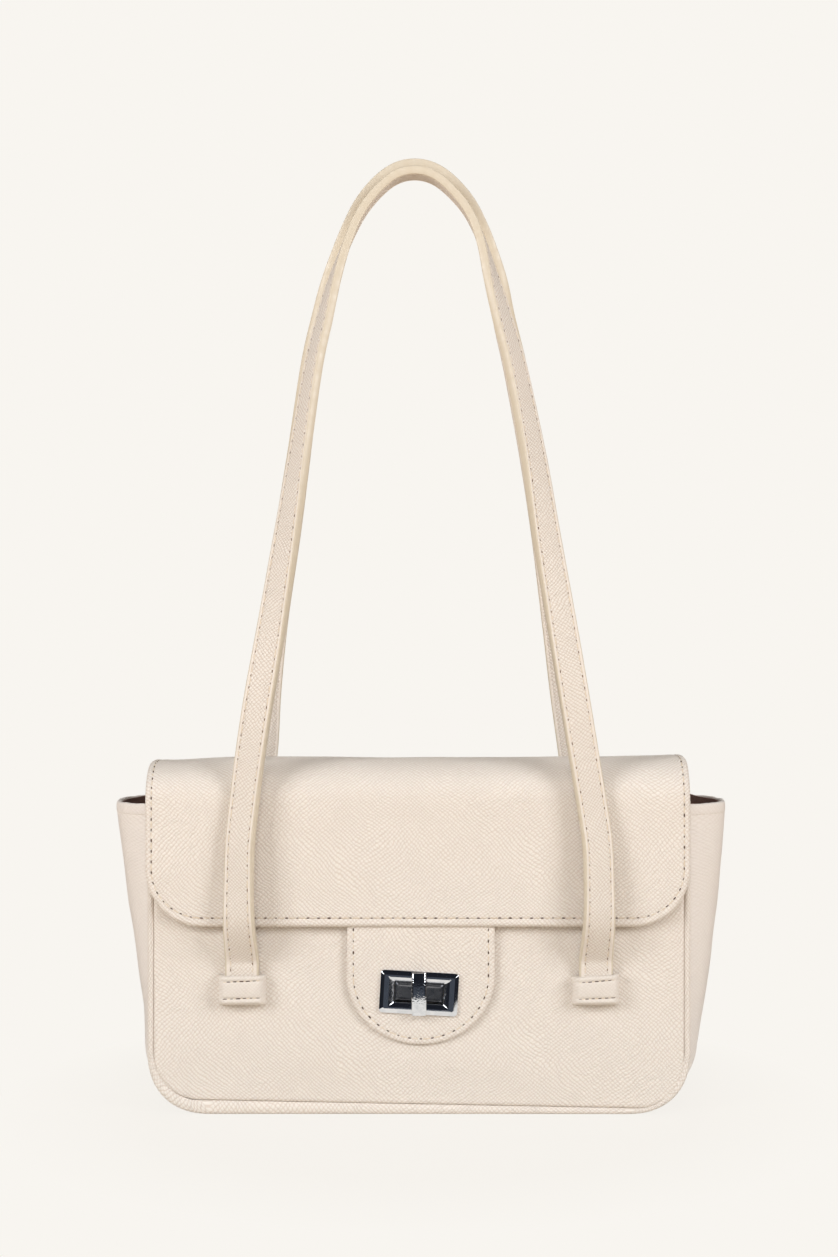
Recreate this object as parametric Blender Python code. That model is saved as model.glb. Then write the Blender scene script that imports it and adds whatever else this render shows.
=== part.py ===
# A structured shoulder bag with a flap, a turn lock on a rounded tab and two standing straps.
# It stands on its base. +X is to the viewer's right, -Y towards the viewer and +Z up.
# The origin is the middle of the base's underside. Sizes are in metres.

import math

import bmesh
import bpy
from mathutils import Matrix, Vector

# Room between neighbouring pieces, and how far a cut runs past what it cuts.
GAP = 0.0003
OVERRUN = 0.004

# Bag body: the leather box under the flap.
BODY_DEPTH = 0.068
BODY_HALF_WIDTH = 0.1293
FRONT_HEIGHT = 0.1515
BACK_RISE = 0.0085
CORNER_RADIUS = 0.0290
WELT_RADIUS = 0.0017
WELT_PROUD = 0.0003
PANEL_LEATHER = 0.0016
BASE_LEATHER = 0.0016
LINING = 0.0008
PANEL_BOARD = 0.0028
BASE_BOARD = 0.0018
BOARD_INSET = 0.004
LINING_INSET = 0.001
TOP_BINDING_HEIGHT = 0.0022

# Side gussets, which belly outwards towards the mouth.
GUSSET_LEATHER = 0.0014
GUSSET_DROP = 0.0078
GUSSET_BULGE_TOP = 0.0223
GUSSET_BULGE_LOW = 0.0060
GUSSET_RISE_POWER = 1.2
GUSSET_BELLY_POWER = 3.0
GUSSET_FADE_POWER = 0.5
BINDING_HEIGHT = 0.0054
BINDING_PROUD = 0.0004

# Flap: leather over a board, lined, folded over the front with a soft roll.
HINGE_INSET = 0.003
HINGE_RISE = 0.005
HINGE_CLEARANCE = 0.0031
FLAP_OVERHANG = 0.0012
FLAP_RISE = 0.0060
FLAP_CROWN_DROP = 0.0012
FLAP_ROLL_RADIUS = 0.017
FLAP_DROP = 0.0600
FLAP_CORNER_RADIUS = 0.031
FLAP_LEATHER = 0.0020
FLAP_BOARD = 0.0019
FLAP_STAND_OFF = 0.0006
FLAP_BOARD_INSET = 0.006
FLAP_LINING_INSET = 0.0035
HINGE_STRIP_THICKNESS = 0.0012
HINGE_STRIP_DROP = 0.022
HINGE_ROLL_RADIUS = 0.0025

# Tab sewn under the flap's lower edge.
TAB_HALF_WIDTH = 0.0356
TAB_SHIFT_X = 0.0009
TAB_DROP = 0.0560
TAB_CURVE_HEIGHT = 0.032
TAB_ROOT = 0.019
TAB_LEATHER = 0.0014
TAB_LINING = 0.0007

# Turn lock.
LOCK_RISE = 0.0243
LOCK_TILT = math.radians(3.3)
BEZEL_HALF_WIDTH = 0.01885
BEZEL_HALF_HEIGHT = 0.0103
BEZEL_CORNER = 0.0016
BEZEL_BEVEL = 0.0020
BEZEL_BAND = 0.0024
BEZEL_RECESS = 0.0024
BEZEL_EDGE_HEIGHT = 0.0010
BEZEL_HEIGHT = 0.0030
BEZEL_LIP_HEIGHT = 0.0014
BEZEL_SLEEVE = 0.0008
BACK_PLATE_THICKNESS = 0.0005
BACK_PLATE_RIM = 0.0045
BASE_BLOCK_PLAY = 0.0007
BASE_BLOCK_BEVEL = 0.0008
KNOB_HALF_LENGTH = 0.0102
KNOB_HALF_WIDTH = 0.00345
KNOB_THICKNESS = 0.0034
KNOB_EDGE = 0.0008
SPINDLE_RADIUS = 0.0021
SPINDLE_PLAY = 0.0004
INNER_PLATE_HALF_WIDTH = 0.013
INNER_PLATE_HALF_HEIGHT = 0.006
INNER_PLATE_THICKNESS = 0.0009
BOARD_WINDOW_MARGIN = 0.0015
SPRING_RADIUS = 0.0048
SPRING_THICKNESS = 0.0004
CLIP_RADIUS = 0.0044
CLIP_THICKNESS = 0.0006

# Straps: two flat leather bands that rise from keepers and stand as tall loops.
STRAP_WIDTH = 0.0155
STRAP_LEATHER = 0.00195
STRAP_EDGE = 0.0005
STRAP_ROOT_RISE = 0.0045
STRAP_INSET = 0.0441
FRONT_STRAP_RISE = 0.3905
REAR_STRAP_RISE = 0.3993
STRAP_TOP_DEPTH = 0.0084
STRAP_LEAN_X = -0.0022
REAR_STRAP_BOW = 0.0040
RIGHT_LEG_DRAW = 0.0022
STRAP_TWIST_SKEW = math.radians(5.0)

# Keepers sewn over the straps' ends.
KEEPER_HALF_WIDTH = 0.0113
KEEPER_HEIGHT = 0.0146
KEEPER_DROP = 0.0380
KEEPER_FACE = 0.0022
KEEPER_EDGE = 0.0018
STRAP_END_LENGTH = 0.0116

# The strap's middle line, as shares of its half spread and its rise. They start at the top of a
# short upright root over the keeper. The depth share is 1 there, passes 1 where the strap bows out
# in front of the flap, and is 0 at the top. The twist share is 1 where the strap lies flat.
SPREAD_SHARES = (1.0, 1.006, 1.006, 1.0, 0.979, 0.948, 0.899, 0.827, 0.741, 0.672, 0.594,
                 0.531, 0.477, 0.407, 0.323, 0.215, 0.110, 0.0)
RISE_SHARES = (0.0, 0.049, 0.0935, 0.147, 0.1966, 0.2534, 0.3256, 0.4163, 0.5326, 0.6326, 0.744,
               0.806, 0.8578, 0.9096, 0.9484, 0.9772, 0.9945, 1.0)
DEPTH_SHARES = (1.0, 1.378, 1.385, 1.339, 1.261, 1.219, 1.163, 1.060, 0.908, 0.749, 0.541,
                0.413, 0.280, 0.150, 0.060, 0.015, 0.0, 0.0)
TWIST_SHARES = (0.0, 0.0, 0.0, 0.0, 0.0, 0.0, 0.01, 0.08, 0.30, 0.52, 0.72, 0.83, 0.90, 0.96, 0.98,
                1.0, 1.0, 1.0)
# The rear strap bows out a little beyond the front one, and the front strap's right leg stands
# a little nearer the middle than its left one.
BOW_SHARES = (0.0, 0.0, 0.0, 0.0, 0.05, 0.15, 0.5, 0.85, 1.0, 1.0, 0.95, 0.9, 0.8, 0.7, 0.6, 0.45,
              0.2, 0.0)
DRAW_SHARES = (0.0, 0.0, 0.0, 0.1, 0.4, 0.9, 1.0, 0.8, 0.6, 0.4, 0.1, 0.0, 0.0, 0.0, 0.0, 0.0, 0.0, 0.0)

# Counts that set how finely round shapes are cut.
CORNER_STEPS = 7
ROLL_STEPS = 8
FLAP_TOP_STEPS = 5
FLAP_CORNER_STEPS = 8
TAB_STEPS = 18
GUSSET_ROWS_UP = 8
GUSSET_COLUMNS = 12
ROUND_SIDES = 16
WELT_SIDES = 8
STRAP_STEPS = 2
STRAP_END_ANGLES = (75.0, 50.0, 25.0)
KNOB_STEPS = 6
SMOOTH_ANGLE = math.radians(40.0)

# Places worked out from the sizes above.
BACK_HEIGHT = FRONT_HEIGHT + BACK_RISE
GUSSET_HEIGHT = FRONT_HEIGHT - GUSSET_DROP
HINGE_Y = BODY_DEPTH / 2 - HINGE_INSET
HINGE_Z = BACK_HEIGHT + HINGE_RISE
FLAP_HALF_WIDTH = BODY_HALF_WIDTH + FLAP_OVERHANG
FLAP_TOP = HINGE_Z + FLAP_RISE
FLAP_BOTTOM = FRONT_HEIGHT - FLAP_DROP
TAB_BOTTOM = FLAP_BOTTOM - TAB_DROP
LOCK_Z = TAB_BOTTOM + LOCK_RISE
STRAP_HALF_SPREAD = BODY_HALF_WIDTH - STRAP_INSET
KEEPER_BOTTOM = FLAP_BOTTOM - KEEPER_DROP
FACE_Y = BODY_DEPTH / 2
WELT_Y = FACE_Y + WELT_PROUD - WELT_RADIUS
WELT_CLEAR = WELT_RADIUS + GAP
GUSSET_Y = WELT_Y - WELT_CLEAR
PANEL_HALF_WIDTH = BODY_HALF_WIDTH - WELT_CLEAR
BASE_HALF = BODY_HALF_WIDTH - CORNER_RADIUS - 2 * GAP
BOARD_FRONT = FACE_Y - PANEL_LEATHER - GAP
BOARD_BACK = BOARD_FRONT - PANEL_BOARD
LINING_FRONT = BOARD_BACK - GAP
LINING_BACK = LINING_FRONT - LINING
FLAP_STACK = FLAP_LEATHER + GAP + FLAP_BOARD + GAP + LINING
FLAP_FACE_Y = FACE_Y + FLAP_STAND_OFF + FLAP_STACK
TAB_BACK_Y = FACE_Y + GAP + BACK_PLATE_THICKNESS + GAP
TAB_MID_Y = TAB_BACK_Y + TAB_LINING + GAP
TAB_FACE_Y = TAB_MID_Y + TAB_LEATHER
BEZEL_BACK_Y = TAB_FACE_Y + GAP
WINDOW_HALF_WIDTH = BEZEL_HALF_WIDTH - BEZEL_BEVEL - BEZEL_BAND - BEZEL_RECESS
WINDOW_HALF_HEIGHT = BEZEL_HALF_HEIGHT - BEZEL_BEVEL - BEZEL_BAND / 2 - BEZEL_RECESS / 2 - BEZEL_SLEEVE
STRAP_THICKNESS = 2 * STRAP_LEATHER + GAP
STRAP_ROOT_Y = FACE_Y + GAP + STRAP_THICKNESS / 2 + GAP
PIVOT_Z = KEEPER_BOTTOM + KEEPER_HEIGHT + 2 * GAP + STRAP_THICKNESS / 2
STRAP_CURVE_Z = PIVOT_Z + STRAP_ROOT_RISE


def clear_scene():
    for thing in list(bpy.data.objects):
        bpy.data.objects.remove(thing, do_unlink=True)


def material(name, colour, roughness, metallic=0.0):
    made = bpy.data.materials.new(name)
    made.use_nodes = True
    shader = made.node_tree.nodes["Principled BSDF"]
    shader.inputs["Base Color"].default_value = (*colour, 1.0)
    shader.inputs["Roughness"].default_value = roughness
    shader.inputs["Metallic"].default_value = metallic
    return made


def leather(name):
    return material(name, (0.80, 0.70, 0.60), 0.55)


def edge_leather(name):
    return material(name, (0.83, 0.73, 0.56), 0.5)


def brown_cloth(name):
    return material(name, (0.16, 0.085, 0.07), 0.9)


def grey_board(name):
    return material(name, (0.42, 0.38, 0.33), 0.95)


def polished_chrome(name):
    return material(name, (0.75, 0.76, 0.78), 0.12, 1.0)


def plated_steel(name):
    return material(name, (0.55, 0.56, 0.57), 0.35, 1.0)


def place(name, bm, finish, smooth=True):
    """Turns a bmesh into a named object with outward faces and its own material."""
    bmesh.ops.recalc_face_normals(bm, faces=bm.faces[:])
    mesh = bpy.data.meshes.new(name)
    bm.to_mesh(mesh)
    bm.free()
    if smooth:
        mesh.shade_smooth()
        mesh.set_sharp_from_angle(angle=SMOOTH_ANGLE)
    mesh.materials.append(finish(name + "_finish"))
    thing = bpy.data.objects.new(name, mesh)
    bpy.context.collection.objects.link(thing)
    return thing


def slab(name, finish, outline, near, far, holes=()):
    """An upright sheet between the depths near and far. outline and holes are (x, z) loops."""
    bm = bmesh.new()
    edges = []
    for loop in (outline, *holes):
        ring = [bm.verts.new((x, near, z)) for x, z in loop]
        edges += [bm.edges.new((ring[i - 1], ring[i])) for i in range(len(ring))]
    filled = bmesh.ops.triangle_fill(bm, edges=edges, use_beauty=True)
    faces = [item for item in filled["geom"] if isinstance(item, bmesh.types.BMFace)]
    grown = bmesh.ops.extrude_face_region(bm, geom=faces)
    moved = [item for item in grown["geom"] if isinstance(item, bmesh.types.BMVert)]
    bmesh.ops.translate(bm, verts=moved, vec=(0.0, far - near, 0.0))
    return place(name, bm, finish)


def block(name, finish, low, high, edge=0.0, edge_steps=2):
    """A box between two corners, with its edges rounded when edge is more than zero."""
    bm = bmesh.new()
    bmesh.ops.create_cube(bm, size=1.0)
    size = [h - l for l, h in zip(low, high)]
    middle = [(h + l) / 2 for l, h in zip(low, high)]
    bmesh.ops.scale(bm, vec=size, verts=bm.verts[:])
    if edge > 0.0:
        bmesh.ops.bevel(bm, geom=bm.edges[:], offset=edge, segments=edge_steps, affect="EDGES",
                        profile=0.5)
    bmesh.ops.translate(bm, verts=bm.verts[:], vec=middle)
    return place(name, bm, finish)


def skin(name, finish, outer, inner):
    """A closed sheet between two grids of points that have the same rows and columns."""
    bm = bmesh.new()
    rows, columns = len(outer), len(outer[0])
    top = [[bm.verts.new(p) for p in row] for row in outer]
    low = [[bm.verts.new(p) for p in row] for row in inner]
    for r in range(rows - 1):
        for c in range(columns - 1):
            bm.faces.new((top[r][c], top[r][c + 1], top[r + 1][c + 1], top[r + 1][c]))
            bm.faces.new((low[r][c], low[r + 1][c], low[r + 1][c + 1], low[r][c + 1]))
    rim = [(0, c) for c in range(columns)] + [(r, columns - 1) for r in range(1, rows)]
    rim += [(rows - 1, c) for c in range(columns - 2, -1, -1)] + [(r, 0) for r in range(rows - 2, 0, -1)]
    for (r0, c0), (r1, c1) in zip(rim, rim[1:] + rim[:1]):
        bm.faces.new((top[r0][c0], low[r0][c0], low[r1][c1], top[r1][c1]))
    return place(name, bm, finish)


def sweep(name, finish, stations, sections):
    """A band along stations, each (origin, side axis, face axis), with one section of (side, face)
    points for each. Quads are split alike across the band, so that layers on one line nest.
    """
    bm = bmesh.new()
    rings = [[bm.verts.new(origin + side * a + face * b) for a, b in section]
             for (origin, side, face), section in zip(stations, sections)]
    count = len(sections[0])
    for here, there in zip(rings, rings[1:]):
        for k in range(count):
            n = (k + 1) % count
            if sections[0][k][0] < sections[0][n][0]:
                bm.faces.new((here[k], here[n], there[n]))
                bm.faces.new((here[k], there[n], there[k]))
            else:
                bm.faces.new((here[k], here[n], there[k]))
                bm.faces.new((here[n], there[n], there[k]))
    bm.faces.new(rings[0][::-1])
    bm.faces.new(rings[-1])
    return place(name, bm, finish)


def turned(name, finish, radius, near, far, centre_z, bore=0.0):
    """A disc or ring on the lock's axis, which runs along Y through x = 0."""
    loop = circle(radius, 0.0, centre_z)
    holes = (circle(bore, 0.0, centre_z),) if bore > 0.0 else ()
    return slab(name, finish, loop, near, far, holes)


def circle(radius, x, z, sides=ROUND_SIDES):
    return [(x + radius * math.cos(math.tau * i / sides), z + radius * math.sin(math.tau * i / sides))
            for i in range(sides)]


def rounded_rectangle(half_width, half_height, radius, steps=3, tilt=0.0, x=0.0, z=0.0):
    """A rectangle's outline with round corners, turned clockwise by tilt about its middle."""
    points = []
    for index, (sx, sz) in enumerate(((1, 1), (-1, 1), (-1, -1), (1, -1))):
        for k in range(steps + 1):
            angle = math.radians(90.0) * (index + k / steps)
            px = sx * (half_width - radius) + radius * math.cos(angle)
            pz = sz * (half_height - radius) + radius * math.sin(angle)
            points.append((px, pz))
    c, s = math.cos(tilt), math.sin(tilt)
    return [(x + px * c + pz * s, z - px * s + pz * c) for px, pz in points]


def body_outline(half_width, bottom, top, radius):
    """The front's outline: square at the top, round at the lower corners."""
    points = [(-half_width, top)]
    for k in range(CORNER_STEPS + 1):
        angle = math.pi + math.radians(90.0) * k / CORNER_STEPS
        points.append((-half_width + radius + radius * math.cos(angle),
                       bottom + radius + radius * math.sin(angle)))
    points += [(-x, z) for x, z in reversed(points)]
    return points


def lock_hole():
    return circle(SPINDLE_RADIUS + SPINDLE_PLAY, 0.0, LOCK_Z)


def make_panels():
    """The leather front, back and base, each a flat sheet inside the rolled welts."""
    low = WELT_RADIUS + WELT_CLEAR
    radius = CORNER_RADIUS - WELT_CLEAR
    front = body_outline(PANEL_HALF_WIDTH, low, FRONT_HEIGHT, radius)
    back = body_outline(PANEL_HALF_WIDTH, low, BACK_HEIGHT, radius)
    inside = FACE_Y - PANEL_LEATHER
    slab("front_panel", leather, front, -FACE_Y, -inside, (lock_hole(),))
    slab("back_panel", leather, back, FACE_Y, inside)
    block("base_panel", leather, (-BASE_HALF, -GUSSET_Y, 0.0), (BASE_HALF, GUSSET_Y, BASE_LEATHER))


def make_welts():
    """Rolled leather welts round the front and back panels' edges, down one side and up the other."""
    section = [(WELT_RADIUS * math.cos(math.tau * (i + 0.5) / WELT_SIDES),
                WELT_RADIUS * math.sin(math.tau * (i + 0.5) / WELT_SIDES)) for i in range(WELT_SIDES)]
    lift = WELT_RADIUS * math.cos(math.pi / WELT_SIDES)
    for name, sign, top in (("front_welt", -1, FRONT_HEIGHT), ("back_welt", 1, BACK_HEIGHT)):
        line = body_outline(BODY_HALF_WIDTH, lift, top, CORNER_RADIUS)
        stations = []
        for i, (x, z) in enumerate(line):
            ax, az = line[max(i - 1, 0)]
            bx, bz = line[min(i + 1, len(line) - 1)]
            run = Vector((bx - ax, 0.0, bz - az)).normalized()
            side = run.cross(Vector((0.0, 1.0, 0.0)))
            stations.append((Vector((x, sign * WELT_Y, z)), side, Vector((0.0, 1.0, 0.0))))
        sweep(name, leather, stations, [section] * len(stations))


def make_boards():
    """Foam-faced boards that stiffen the front, the back and the base."""
    low = WELT_RADIUS + WELT_CLEAR + BOARD_INSET
    half = PANEL_HALF_WIDTH - BOARD_INSET
    radius = CORNER_RADIUS - WELT_CLEAR - BOARD_INSET
    window = rounded_rectangle(INNER_PLATE_HALF_WIDTH + BOARD_WINDOW_MARGIN,
                               INNER_PLATE_HALF_HEIGHT + BOARD_WINDOW_MARGIN, BOARD_WINDOW_MARGIN, z=LOCK_Z)
    front = body_outline(half, low, FRONT_HEIGHT - GAP, radius)
    back = body_outline(half, low, BACK_HEIGHT - GAP, radius)
    slab("front_board", grey_board, front, -BOARD_FRONT, -BOARD_BACK, (window,))
    slab("back_board", grey_board, back, BOARD_FRONT, BOARD_BACK)
    floor = BASE_LEATHER + GAP
    reach = LINING_BACK - GAP
    block("base_board", grey_board, (-BASE_HALF, -reach, floor), (BASE_HALF, reach, floor + BASE_BOARD))


def make_flat_linings():
    """Brown cloth linings of the front, back and base."""
    low = WELT_RADIUS + WELT_CLEAR + LINING_INSET
    half = PANEL_HALF_WIDTH - LINING_INSET
    radius = CORNER_RADIUS - WELT_CLEAR - LINING_INSET
    front = body_outline(half, low, FRONT_HEIGHT - GAP, radius)
    back = body_outline(half, low, BACK_HEIGHT - GAP, radius)
    slab("front_lining", brown_cloth, front, -LINING_FRONT, -LINING_BACK)
    slab("back_lining", brown_cloth, back, LINING_FRONT, LINING_BACK)
    floor = BASE_LEATHER + GAP + BASE_BOARD + GAP
    reach = LINING_BACK - GAP
    block("base_lining", brown_cloth, (-BASE_HALF, -reach, floor), (BASE_HALF, reach, floor + LINING))


def make_front_binding():
    """A folded leather binding along the front panel's top edge."""
    low = (-PANEL_HALF_WIDTH, -FACE_Y, FRONT_HEIGHT + GAP)
    high = (PANEL_HALF_WIDTH, -LINING_BACK, FRONT_HEIGHT + GAP + TOP_BINDING_HEIGHT)
    block("front_top_binding", leather, low, high, TOP_BINDING_HEIGHT / 3, 1)


def gusset_line():
    """The gusset's seam line from the base round the corner and up, as (x, z, share of the bulge)."""
    points = []
    radius = CORNER_RADIUS + WELT_RADIUS
    centre_x = BODY_HALF_WIDTH - CORNER_RADIUS
    for k in range(CORNER_STEPS + 1):
        angle = math.radians(90.0) * k / CORNER_STEPS
        points.append((centre_x + CORNER_RADIUS * math.sin(angle), radius - radius * math.cos(angle),
                       math.sin(angle) ** GUSSET_FADE_POWER))
    for k in range(1, GUSSET_ROWS_UP + 1):
        points.append((BODY_HALF_WIDTH, radius + (GUSSET_HEIGHT - radius) * k / GUSSET_ROWS_UP, 1.0))
    return points


def gusset_surface(side, line, half):
    """The gusset's outside, bellied between its front and back seams, as a grid of points."""
    rows = []
    for x, z, fade in line:
        rise = (z / GUSSET_HEIGHT) ** GUSSET_RISE_POWER
        bulge = GUSSET_BULGE_LOW + (GUSSET_BULGE_TOP - GUSSET_BULGE_LOW) * rise
        row = []
        for c in range(GUSSET_COLUMNS + 1):
            share = math.sin(math.radians(90.0) * (2.0 * c / GUSSET_COLUMNS - 1.0))
            belly = fade * bulge * (1.0 - abs(share) ** GUSSET_BELLY_POWER)
            row.append(Vector((side * (x + belly), half * share, z)))
        rows.append(row)
    return rows


def sunk(grid, side, depth):
    """The same grid moved inwards by depth, square to its surface."""
    moved = []
    for r, row in enumerate(grid):
        below, above = grid[max(r - 1, 0)], grid[min(r + 1, len(grid) - 1)]
        new_row = []
        for c, point in enumerate(row):
            across = row[min(c + 1, len(row) - 1)] - row[max(c - 1, 0)]
            outward = across.cross(above[c] - below[c]).normalized() * side
            new_row.append(point - outward * depth)
        moved.append(new_row)
    return moved


def make_gussets():
    """Leather gussets, their cloth linings and the leather bindings round their mouths."""
    cloth = GUSSET_LEATHER + GAP
    cloth_inside = cloth + LINING
    for side, word in ((-1, "left"), (1, "right")):
        grid = gusset_surface(side, gusset_line(), GUSSET_Y)
        skin(word + "_gusset", leather, grid, sunk(grid, side, GUSSET_LEATHER))
        skin(word + "_lining", brown_cloth, sunk(grid, side, cloth), sunk(grid, side, cloth_inside))
        low = GUSSET_HEIGHT + GAP
        rim_line = [(BODY_HALF_WIDTH, low, 1.0), (BODY_HALF_WIDTH, low + BINDING_HEIGHT, 1.0)]
        rim = gusset_surface(side, rim_line, GUSSET_Y - BINDING_PROUD)
        skin(word + "_gusset_binding", leather, sunk(rim, side, -BINDING_PROUD),
             sunk(rim, side, cloth_inside))


def flap_profile():
    """The flap's outer line from the hinge over the top and down the front: (y, z, ny, nz)."""
    points = []
    rear = HINGE_Y - HINGE_CLEARANCE
    front = -FLAP_FACE_Y + FLAP_ROLL_RADIUS
    for k in range(FLAP_TOP_STEPS + 1):
        y = rear + (front - rear) * k / FLAP_TOP_STEPS
        share = 2.0 * k / FLAP_TOP_STEPS - 1.0
        tilt = -4.0 * FLAP_CROWN_DROP * share / (front - rear)
        length = math.hypot(1.0, tilt)
        points.append((y, FLAP_TOP - FLAP_CROWN_DROP * share * share, -tilt / length, 1.0 / length))
    centre_z = FLAP_TOP - FLAP_CROWN_DROP - FLAP_ROLL_RADIUS
    for k in range(1, ROLL_STEPS + 1):
        angle = math.radians(90.0) * (1.0 + k / ROLL_STEPS)
        points.append((front + FLAP_ROLL_RADIUS * math.cos(angle),
                       centre_z + FLAP_ROLL_RADIUS * math.sin(angle), math.cos(angle), math.sin(angle)))
    return points


def flap_rows(inset, bottom):
    """The flap's rows down to bottom, each with its half width, drawn in at the lower corners."""
    rows = [(y, z, ny, nz, FLAP_HALF_WIDTH - inset) for y, z, ny, nz in flap_profile()]
    radius = FLAP_CORNER_RADIUS - inset
    corner_z = FLAP_BOTTOM + FLAP_CORNER_RADIUS
    reach = corner_z - bottom
    for k in range(FLAP_CORNER_STEPS + 1):
        drop = reach * math.sin(math.radians(90.0) * k / FLAP_CORNER_STEPS)
        drawn = radius - math.sqrt(max(radius * radius - drop * drop, 0.0))
        rows.append((-FLAP_FACE_Y, corner_z - drop, -1.0, 0.0, FLAP_HALF_WIDTH - inset - drawn))
    return rows


def flap_sheet(name, finish, inset, bottom, outer_depth, thickness):
    """One layer of the flap, outer_depth under its face."""
    shares = (-1.0, -0.5, 0.0, 0.5, 1.0)
    grids = []
    for depth in (outer_depth, outer_depth + thickness):
        grid = []
        for y, z, ny, nz, half in flap_rows(inset, bottom):
            grid.append([Vector((half * share, y - ny * depth, z - nz * depth)) for share in shares])
        grids.append(grid)
    return skin(name, finish, grids[0], grids[1])


def make_flap():
    """The flap's leather, its board and its lining. The board ends above the tab's root."""
    root_top = FLAP_BOTTOM + TAB_ROOT
    board_depth = FLAP_LEATHER + GAP
    lining_depth = board_depth + FLAP_BOARD + GAP
    flap_sheet("flap_outer", leather, 0.0, FLAP_BOTTOM, 0.0, FLAP_LEATHER)
    flap_sheet("flap_board", grey_board, FLAP_BOARD_INSET, root_top + GAP, board_depth, FLAP_BOARD)
    flap_sheet("flap_lining", brown_cloth, FLAP_LINING_INSET, FLAP_BOTTOM + FLAP_LINING_INSET,
               lining_depth, LINING)


def make_hinge_strip():
    """The leather strip sewn to the back panel's outside that the flap bends on."""
    outside = FACE_Y + GAP + HINGE_STRIP_THICKNESS
    low = BACK_HEIGHT - HINGE_STRIP_DROP
    neck = HINGE_Z - HINGE_ROLL_RADIUS
    profile = [(FACE_Y + GAP, low), (outside, low), (outside, neck)]
    for k in range(ROLL_STEPS + 1):
        angle = math.radians(180.0) * k / ROLL_STEPS
        profile.append((HINGE_Y + HINGE_ROLL_RADIUS * math.cos(angle),
                        HINGE_Z + HINGE_ROLL_RADIUS * math.sin(angle)))
    profile += [(HINGE_Y - HINGE_ROLL_RADIUS, neck), (FACE_Y + GAP, BACK_HEIGHT + GAP)]
    section = [(z, y) for y, z in profile]
    stations = []
    for sign in (-1, 1):
        origin = Vector((sign * PANEL_HALF_WIDTH, 0.0, 0.0))
        stations.append((origin, Vector((0.0, 0.0, 1.0)), Vector((0.0, 1.0, 0.0))))
    sweep("flap_hinge_strip", leather, stations, [section] * len(stations))


def tab_outline(top, inset):
    """The tab's outline: straight sides over a wide rounded end."""
    half = TAB_HALF_WIDTH - inset
    curve_z = TAB_BOTTOM + TAB_CURVE_HEIGHT
    points = [(TAB_SHIFT_X - half, top)]
    for k in range(TAB_STEPS + 1):
        angle = math.pi * (1.0 + k / TAB_STEPS)
        points.append((TAB_SHIFT_X + half * math.cos(angle),
                       curve_z + (TAB_CURVE_HEIGHT - inset) * math.sin(angle)))
    points.append((TAB_SHIFT_X + half, top))
    return points


def make_tab():
    """The tab's leather runs up under the flap's leather. Its lining stops at the flap's lining."""
    room = BEZEL_SLEEVE + GAP
    sleeve = rounded_rectangle(WINDOW_HALF_WIDTH + room, WINDOW_HALF_HEIGHT + room, BEZEL_SLEEVE,
                               tilt=LOCK_TILT, z=LOCK_Z)
    face = tab_outline(FLAP_BOTTOM + TAB_ROOT, 0.0)
    back = tab_outline(FLAP_BOTTOM + FLAP_LINING_INSET - GAP, 0.0)
    slab("tab_outer", leather, face, -TAB_FACE_Y, -TAB_MID_Y, (sleeve,))
    slab("tab_lining", leather, back, -TAB_MID_Y + GAP, -TAB_BACK_Y, (sleeve,))


def ring_stack(name, finish, rings):
    """A frame built from closed loops, one after another, the last joined to the first."""
    bm = bmesh.new()
    loops = [[bm.verts.new((x, y, z)) for x, z in outline] for outline, y in rings]
    for here, there in zip(loops, loops[1:] + loops[:1]):
        for k in range(len(here)):
            n = (k + 1) % len(here)
            bm.faces.new((here[k], here[n], there[n], there[k]))
    return place(name, bm, finish)


def bezel_loop(in_by_x, in_by_z, corner):
    return rounded_rectangle(BEZEL_HALF_WIDTH - in_by_x, BEZEL_HALF_HEIGHT - in_by_z, corner,
                             tilt=LOCK_TILT, z=LOCK_Z)


def make_bezel():
    """The chrome frame on the tab: a raised band, a recess round the window, a sleeve behind."""
    band_x = BEZEL_BEVEL + BEZEL_BAND
    band_z = BEZEL_BEVEL + BEZEL_BAND / 2
    window = rounded_rectangle(WINDOW_HALF_WIDTH, WINDOW_HALF_HEIGHT, BEZEL_SLEEVE / 2,
                               tilt=LOCK_TILT, z=LOCK_Z)
    sleeve = rounded_rectangle(WINDOW_HALF_WIDTH + BEZEL_SLEEVE, WINDOW_HALF_HEIGHT + BEZEL_SLEEVE,
                               BEZEL_SLEEVE, tilt=LOCK_TILT, z=LOCK_Z)
    front = -BEZEL_BACK_Y
    sleeve_end = -TAB_BACK_Y
    ring_stack("lock_bezel", polished_chrome, (
        (bezel_loop(0.0, 0.0, BEZEL_CORNER), front),
        (bezel_loop(0.0, 0.0, BEZEL_CORNER), front - BEZEL_EDGE_HEIGHT),
        (bezel_loop(BEZEL_BEVEL, BEZEL_BEVEL, BEZEL_CORNER / 2), front - BEZEL_HEIGHT),
        (bezel_loop(band_x, band_z, BEZEL_CORNER / 2), front - BEZEL_HEIGHT),
        (window, front - BEZEL_LIP_HEIGHT),
        (window, sleeve_end),
        (sleeve, sleeve_end),
        (sleeve, front),
    ))
    hole = rounded_rectangle(WINDOW_HALF_WIDTH, WINDOW_HALF_HEIGHT, BEZEL_SLEEVE / 2, tilt=LOCK_TILT,
                             z=LOCK_Z)
    rim = rounded_rectangle(WINDOW_HALF_WIDTH + BACK_PLATE_RIM, WINDOW_HALF_HEIGHT + BACK_PLATE_RIM,
                            BEZEL_CORNER, tilt=LOCK_TILT, z=LOCK_Z)
    near = -TAB_BACK_Y + GAP
    slab("lock_bezel_back", plated_steel, rim, near, near + BACK_PLATE_THICKNESS, (hole,))


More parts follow.
